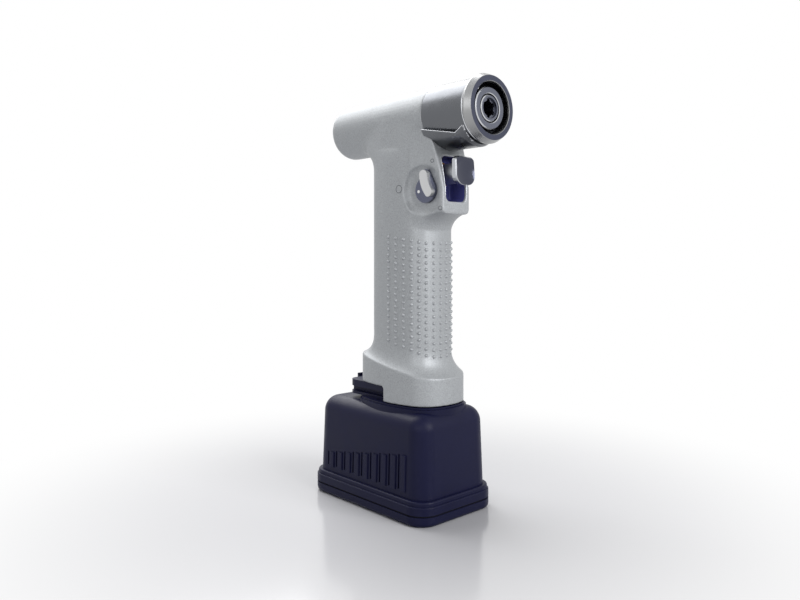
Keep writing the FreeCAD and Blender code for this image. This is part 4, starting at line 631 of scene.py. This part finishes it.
class HANDPIECE_OT_nose(bpy.types.Operator):
    """Turned steel nose: sleeve, collar, coupling ring and spindle"""
    bl_idname = "handpiece.nose"
    bl_label = "Nose"

    def execute(self, context):
        finishes = settings("finishes")
        sleeve = turned_steel("stainless_turned_satin", finishes.sleeve, 0.24, 0.34)
        collar = turned_steel("stainless_turned_pale", finishes.collar, 0.26, 0.36)
        face = turned_steel("stainless_ground_grey", "666974", 0.3, 0.4)
        # The collar's flat front gets this darker blue-grey steel as a painted reflection of dark
        # surroundings.
        dull = turned_steel("collar_face_painted_reflection_blue_grey", "4c4f5e", 0.28, 0.36)
        # Polished steel for the clip and pin; on the chamfers of the nose, ring and spindle and on the ledge
        # beads, it is a painted highlight.
        bright = polished_steel("stainless_polished_and_painted_highlight", "c9cbcf")
        nose = stand_in("nose_turned", "nose_sleeve", "handpiece", sleeve)
        points = np.array([vertex.co for vertex in nose.data.vertices]) / MM
        nose.data.vertices.foreach_set("co", (self.sloped(points) * MM).ravel())
        soften(nose.data, SHARP_ANGLE)
        paint_faces(nose, bright, lambda at, out: at.x > NOSE_END_X and SLEEVE_CHAMFER < out.x < FLAT)
        # Painted highlight: a bright polished bead along each ledge, so that the ledge shows as a bright
        # line.
        for name, side in (("chin_ledge_highlight_right", -1), ("chin_ledge_highlight_left", 1)):
            ends = [(x, y * side, z) for x, y, z in (LEDGE_REAR, LEDGE_SPLIT, LEDGE_FRONT)]
            rear, split, front = self.sloped(np.array(ends))
            line = [rear + (split - rear) * step / 10 for step in range(11)]
            line += [split + (front - split) * step / 4 for step in range(1, 5)]
            bead(name, line, LEDGE_BEAD_R, bright, closed=False)
        paint_faces(dress("collar", collar), dull, lambda at, out: at.x > COLLAR_FACE_X and out.x > FLAT)
        paint_faces(dress("coupling_ring", face), bright, lambda at, out: RING_CHAMFER < out.x < FLAT)
        spindle = dress("drive_spindle", face)
        paint_faces(spindle, bright, lambda at, out: at.x > NOSE_END_X and RING_CHAMFER < out.x < FLAT)
        dress("collar_clip", bright)
        dress("lock_pin", bright)
        return {"FINISHED"}

    def sloped(self, points):
        """Points in millimetres, turned about the barrel so the chin's ledge falls towards the collar.

        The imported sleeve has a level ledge; the photograph's slopes."""
        x, y, z = points.T
        up = z - CHIN_AXIS_Z
        fall = np.interp(x, LEDGE_FALL_X, LEDGE_FALL)
        share = np.clip(1 - np.abs(z - LEDGE_MIDDLE_Z) / LEDGE_REACH, 0, 1)
        outside = np.hypot(y, up) > SLEEVE_SKIN_R
        turn = np.sign(y) * fall * share * outside / LEDGE_ARM
        return np.stack([x, y * np.cos(turn) - up * np.sin(turn),
                         y * np.sin(turn) + up * np.cos(turn) + CHIN_AXIS_Z], axis=1)


class HANDPIECE_OT_trigger(bpy.types.Operator):
    """Polished trigger cap on its stem, and the pocket it moves in"""
    bl_idname = "handpiece.trigger"
    bl_label = "Trigger"

    def execute(self, context):
        # The cap's dished front is painted dark as a painted reflection of dark surroundings; its other faces
        # are painted pale as a painted highlight on its edges.
        mirror = polished_steel("trigger_face_painted_reflection_dark", "4a4c58", 0.08)
        bright = polished_steel("cap_edge_polished_painted_highlight", "b4b6bb", 0.16)
        paint_faces(dress("trigger_cap", bright), mirror, lambda at, out: out.x > TRIGGER_FACE)
        dress("trigger_stem", turned_steel("stainless_satin_stem", "c4c6ca", 0.4, 0.5))
        self.pocket_rim_highlight(bright)
        return {"FINISHED"}

    def inside_pocket(self, at, out):
        """Whether a face of the casting is on the walls or floor of the trigger pocket, which are painted in
        shade.
        """
        front = BLOCK_FRONT_X - max(0.0, at.z - BLOCK_LEAN_Z) * BLOCK_LEAN
        low, high = POCKET_WALL_Z
        within = abs(at.y) < POCKET_WALL_HALF and low < at.z < high
        return within and POCKET_WALL_X < at.x < front - POCKET_LIP

    def pocket_rim_highlight(self, material):
        """Painted shade on the pocket's walls, and a bead of painted highlight round the pocket's mouth, laid
        on the casting's front.

        The walls are navy as the photograph shows them, which its blue light may cause."""
        side = POCKET_HALF - POCKET_CORNER
        top = POCKET_HIGH - POCKET_CORNER
        foot = POCKET_LOW + POCKET_CORNER
        line = []
        for y, z, first in ((side, top, 0), (-side, top, 90), (-side, foot, 180), (side, foot, 270)):
            for step in range(9):
                angle = math.radians(first + step * 11.25)
                line.append((y + POCKET_CORNER * math.cos(angle), z + POCKET_CORNER * math.sin(angle)))
        dense = []
        for (y0, z0), (y1, z1) in zip(line, line[1:] + line[:1]):
            steps = max(1, round(math.dist((y0, z0), (y1, z1)) / RIM_STEP))
            dense += [(y0 + (y1 - y0) * k / steps, z0 + (z1 - z0) * k / steps) for k in range(steps)]
        casting = bpy.data.objects["housing_casting"]
        starts = [(RAY_FROM_X, y * RIM_WIDER, POCKET_MIDDLE + (z - POCKET_MIDDLE) * RIM_TALLER)
                  for y, z in dense]
        spots = skin_points(casting, starts, [(-1.0, 0.0, 0.0)] * len(starts))
        # Painted shade: the walls and floor of the pocket are painted dark navy where the recess lies in
        # shade.
        dark = moulded_plastic("pocket_walls_painted_shade_navy", "4a4c86", 0.4)
        paint_faces(casting, dark, self.inside_pocket)
        # Painted highlight: a bright bead along the pocket's edge.
        line = [spot - normal * RIM_BEAD_SINK for spot, normal in spots]
        bead("pocket_rim_highlight", line, RIM_BEAD_R, material)


class HANDPIECE_OT_selector(bpy.types.Operator):
    """Selector knob with its raised thumb ridge, and the plain rings round it"""
    bl_idname = "handpiece.selector"
    bl_label = "Selector"

    def execute(self, context):
        ridge = turned_steel("stainless_cast_satin", "c2c3c4", 0.34, 0.44, 2.0)
        # Painted shade: the knob's base, below its ridge, gets a darker blue-grey steel; the ridge keeps the
        # paler one.
        base = polished_steel("knob_base_painted_shade_blue_grey", "5d6070", 0.2)
        knob = dress("selector_knob", ridge)
        paint_faces(knob, base, lambda at, out: (at - DISH_FLOOR).dot(DISH_OUTWARD) < KNOB_BASE_TOP)
        dress("selector_dot", polished_steel("stainless_pin", "d8d8d8"))
        dress("selector_pivot", ridge)
        dress("selector_magnet", ridge)
        self.marks()
        return {"FINISHED"}

    def marks(self):
        """Plain thin rings on the casting, drawn as fine beads."""
        ink = moulded_plastic("engraved_line_dark", "3c3e44", 0.5)
        casting = bpy.data.objects["housing_casting"]
        turns = [2 * math.pi * step / RING_POINTS for step in range(RING_POINTS)]
        for name, x, z, radius in MARK_RINGS:
            starts = [(x + radius * math.cos(turn), RAY_FROM_Y, z + radius * math.sin(turn))
                      for turn in turns]
            spots = skin_points(casting, starts, [(0.0, 1.0, 0.0)] * RING_POINTS)
            bead(name, [spot for spot, _ in spots], RING_BEAD_R, ink)


class HANDPIECE_OT_battery(bpy.types.Operator):
    """Battery case, seal, base, tower and latch"""
    bl_idname = "handpiece.battery"
    bl_label = "Battery"

    def execute(self, context):
        finishes = settings("finishes")
        case = moulded_plastic("abs_moulded_navy_black", finishes.case)
        seal = rubber("nitrile_rubber_black", finishes.seal)
        for node in ("battery_case", "battery_base", "battery_tower", "latch_lever"):
            dress(node, case)
        dress("battery_gasket", seal)
        return {"FINISHED"}


class HANDPIECE_OT_inner_parts(bpy.types.Operator):
    """Finishes of the gears, motor, board and cells inside"""
    bl_idname = "handpiece.inner_parts"
    bl_label = "Inner parts"

    def execute(self, context):
        steel = turned_steel("bearing_steel_ground", "b9babb", 0.2, 0.3)
        gear = turned_steel("gear_steel_hobbed", "8d8f92", 0.3, 0.42)
        black = moulded_plastic("epoxy_moulded_black", "101012", 0.5, 0.6)
        board = moulded_plastic("glass_laminate_green", "14502c", 0.35, 1.2)
        gold = polished_steel("contact_gold_plated", "d8b45c", 0.2)
        copper = turned_steel("copper_wire_enamelled", "b87333", 0.3, 0.4, 0.8)
        magnet = polished_steel("magnet_nickel_plated", "8f8f94", 0.25)
        wrap = moulded_plastic("cell_wrap_shrunk", "1d6b80", 0.3, 4.0)
        white = moulded_plastic("nylon_moulded_white", "d8d8d2", 0.5)
        bronze = turned_steel("bronze_sintered", "a07a45", 0.35, 0.5)
        core = turned_steel("silicon_steel_stacked", "55585c", 0.4, 0.5)
        seal = bpy.data.materials["nitrile_rubber_black"]
        finish = {"bearing_steel": steel, "gear_steel": gear, "satin_steel": steel, "polished_steel": steel,
                  "black_component": black, "insulator": black, "board": board, "contact_metal": gold,
                  "copper": copper, "magnet": magnet, "cell_wrap": wrap, "white_plastic": white,
                  "bronze": bronze, "core_steel": core, "nickel": steel, "seal_rubber": seal}
        done = {"housing", "nose_sleeve", "collar", "coupling_ring", "drive_spindle", "collar_clip",
                "lock_pin", "trigger_cap", "trigger_stem", "selector_knob", "selector_dot",
                "selector_pivot", "selector_magnet", "battery_case", "battery_base", "battery_tower",
                "latch_lever", "battery_gasket", "trigger_spring", "latch_spring"}
        for row in frame["record"]["subparts"]:
            if row["node"] not in done:
                dress(row["node"], finish[row["material_slot"]])
        return {"FINISHED"}


class HANDPIECE_OT_springs(bpy.types.Operator):
    """Copies, each with a mesh of its own, of the bellows and leaf spring that give way to the trigger and
    the latch
    """
    bl_idname = "handpiece.springs"
    bl_label = "Springs"

    def execute(self, context):
        steel = turned_steel("spring_steel_rolled", "a9aaac", 0.25, 0.35)
        bellows = stand_in("trigger_bellows", "trigger_spring", "handpiece", steel)
        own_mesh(bellows)
        # A real leaf bends and keeps its thickness; squash only flattens it, and so thins it
        leaf = stand_in("latch_leaf", "latch_spring", "battery", steel)
        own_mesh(leaf)
        return {"FINISHED"}


class HANDPIECE_OT_stage(bpy.types.Operator):
    """Pale floor, soft studio light and the camera"""
    bl_idname = "handpiece.stage"
    bl_label = "Stage"

    def execute(self, context):
        stage = settings("stage_settings")
        scene = context.scene
        scene.view_settings.view_transform = "Standard"
        self.add_floor()
        self.add_lamps(stage)
        self.add_world(scene)
        camera = link(bpy.data.objects.new("camera", bpy.data.cameras.new("camera")))
        turn = stage.camera_turn
        camera.location = (stage.camera_distance * math.sin(turn),
                           -stage.camera_distance * math.cos(turn), stage.camera_height)
        camera.rotation_euler = (math.radians(90), 0.0, turn)
        camera.data.sensor_width = 36.0
        camera.data.lens = stage.camera_lens
        camera.data.shift_y = stage.camera_drop
        camera.data.clip_start = 0.01
        scene.camera = camera
        return {"FINISHED"}

    def add_floor(self):
        """Glossy white table with a soft mirror image and the shadow, white as the surround further off."""
        material, tree, shader, place = new_material("acrylic_sheet_white_gloss", {
            "Base Color": linear("c6c6c9"), "IOR": 1.6})
        cloud = add_node(tree, "ShaderNodeTexNoise", None, {
            "Vector": (place, "Object"), "Scale": per_mm(60.0), "Detail": 2.0})
        rough = ranged(tree, (cloud, "Fac"), 0.13, 0.18)
        tree.links.new(rough.outputs["Result"], shader.inputs["Roughness"])
        reach = add_node(tree, "ShaderNodeVectorMath", {"operation": "LENGTH"}, {0: (place, "Object")})
        far = add_node(tree, "ShaderNodeMapRange", {"interpolation_type": "SMOOTHSTEP"}, {
            "Value": (reach, "Value"), "From Min": FADE_START, "From Max": FADE_END})
        share = add_node(tree, "ShaderNodeMath", {"operation": "MULTIPLY"}, {
            0: (far, "Result"), 1: seen_directly(tree)})
        white = add_node(tree, "ShaderNodeEmission", None, {"Color": (1.0, 1.0, 1.0, 1.0), "Strength": 1.0})
        blend = add_node(tree, "ShaderNodeMixShader", None, {
            0: (share, "Value"), 1: (shader, "BSDF"), 2: (white, "Emission")})
        output = next(node for node in tree.nodes if node.type == "OUTPUT_MATERIAL")
        tree.links.new(blend.outputs["Shader"], output.inputs["Surface"])
        corners = [(FLOOR_HALF * x, FLOOR_HALF * y, 0) for x, y in ((-1, -1), (1, -1), (1, 1), (-1, 1))]
        floor = mesh_object("floor", corners, [(0, 1, 2, 3)], material)

    def add_lamps(self, stage):
        """Softboxes at the camera's right, above and behind, and lower down at the camera's left."""
        places = (("key_softbox", (0.95, 0.1, 0.55), (0.6, 0.6), stage.key_power),
                  ("rear_softbox", (-0.53, 0.06, 0.76), (0.8, 0.8), stage.rear_power),
                  ("fill_softbox", (0.4, -0.8, 0.42), (0.7, 0.5), stage.fill_power))
        for name, at, size, power in places:
            data = bpy.data.lights.new(name, "AREA")
            data.shape = "RECTANGLE"
            data.size, data.size_y = size
            data.energy = power
            lamp = link(bpy.data.objects.new(name, data))
            lamp.location = at
            aim = Vector((0.0, 0.0, AIM_HEIGHT)) - Vector(at)
            lamp.rotation_euler = aim.to_track_quat("-Z", "Y").to_euler()

    def add_world(self, scene):
        """Even white surround for the eye, gloss and glass, and a quieter one for the light."""
        world = bpy.data.worlds.new("studio")
        scene.world = world
        world.use_nodes = True
        tree = world.node_tree
        tree.nodes.clear()
        strength = ranged(tree, seen_directly(tree), SURROUND_LIGHT, 1.0)
        ground = add_node(tree, "ShaderNodeBackground", None, {
            "Color": (1.0, 1.0, 1.0, 1.0), "Strength": (strength, "Result")})
        add_node(tree, "ShaderNodeOutputWorld", None, {"Surface": (ground, "Background")})


class HANDPIECE_PT_panel(bpy.types.Panel):
    """Lists the handpiece's pieces"""
    bl_idname = "HANDPIECE_PT_panel"
    bl_label = "Handpiece"
    bl_space_type = "VIEW_3D"
    bl_region_type = "UI"
    bl_category = "Handpiece"

    def draw(self, context):
        for operator in OPERATORS:
            self.layout.operator(operator.bl_idname)


GROUPS = {"grip_sizes": GripSizes, "casting_sizes": CastingSizes, "finishes": Finishes,
          "stage_settings": StageSettings}
OPERATORS = (HANDPIECE_OT_casting, HANDPIECE_OT_grip_bumps, HANDPIECE_OT_nose, HANDPIECE_OT_trigger,
             HANDPIECE_OT_selector, HANDPIECE_OT_battery, HANDPIECE_OT_inner_parts,
             HANDPIECE_OT_springs, HANDPIECE_OT_stage)


def register():
    for group in GROUPS.values():
        bpy.utils.register_class(group)
    for name, group in GROUPS.items():
        setattr(bpy.types.Scene, name, bpy.props.PointerProperty(type=group))
    for operator in OPERATORS:
        bpy.utils.register_class(operator)
    bpy.utils.register_class(HANDPIECE_PT_panel)


def unregister():
    bpy.utils.unregister_class(HANDPIECE_PT_panel)
    for operator in reversed(OPERATORS):
        bpy.utils.unregister_class(operator)
    for name in GROUPS:
        delattr(bpy.types.Scene, name)
    for group in reversed(list(GROUPS.values())):
        bpy.utils.unregister_class(group)


def main():
    register()
    for operator in OPERATORS:
        group, name = operator.bl_idname.split(".")
        getattr(getattr(bpy.ops, group), name)()


if __name__ == "__main__":
    main()
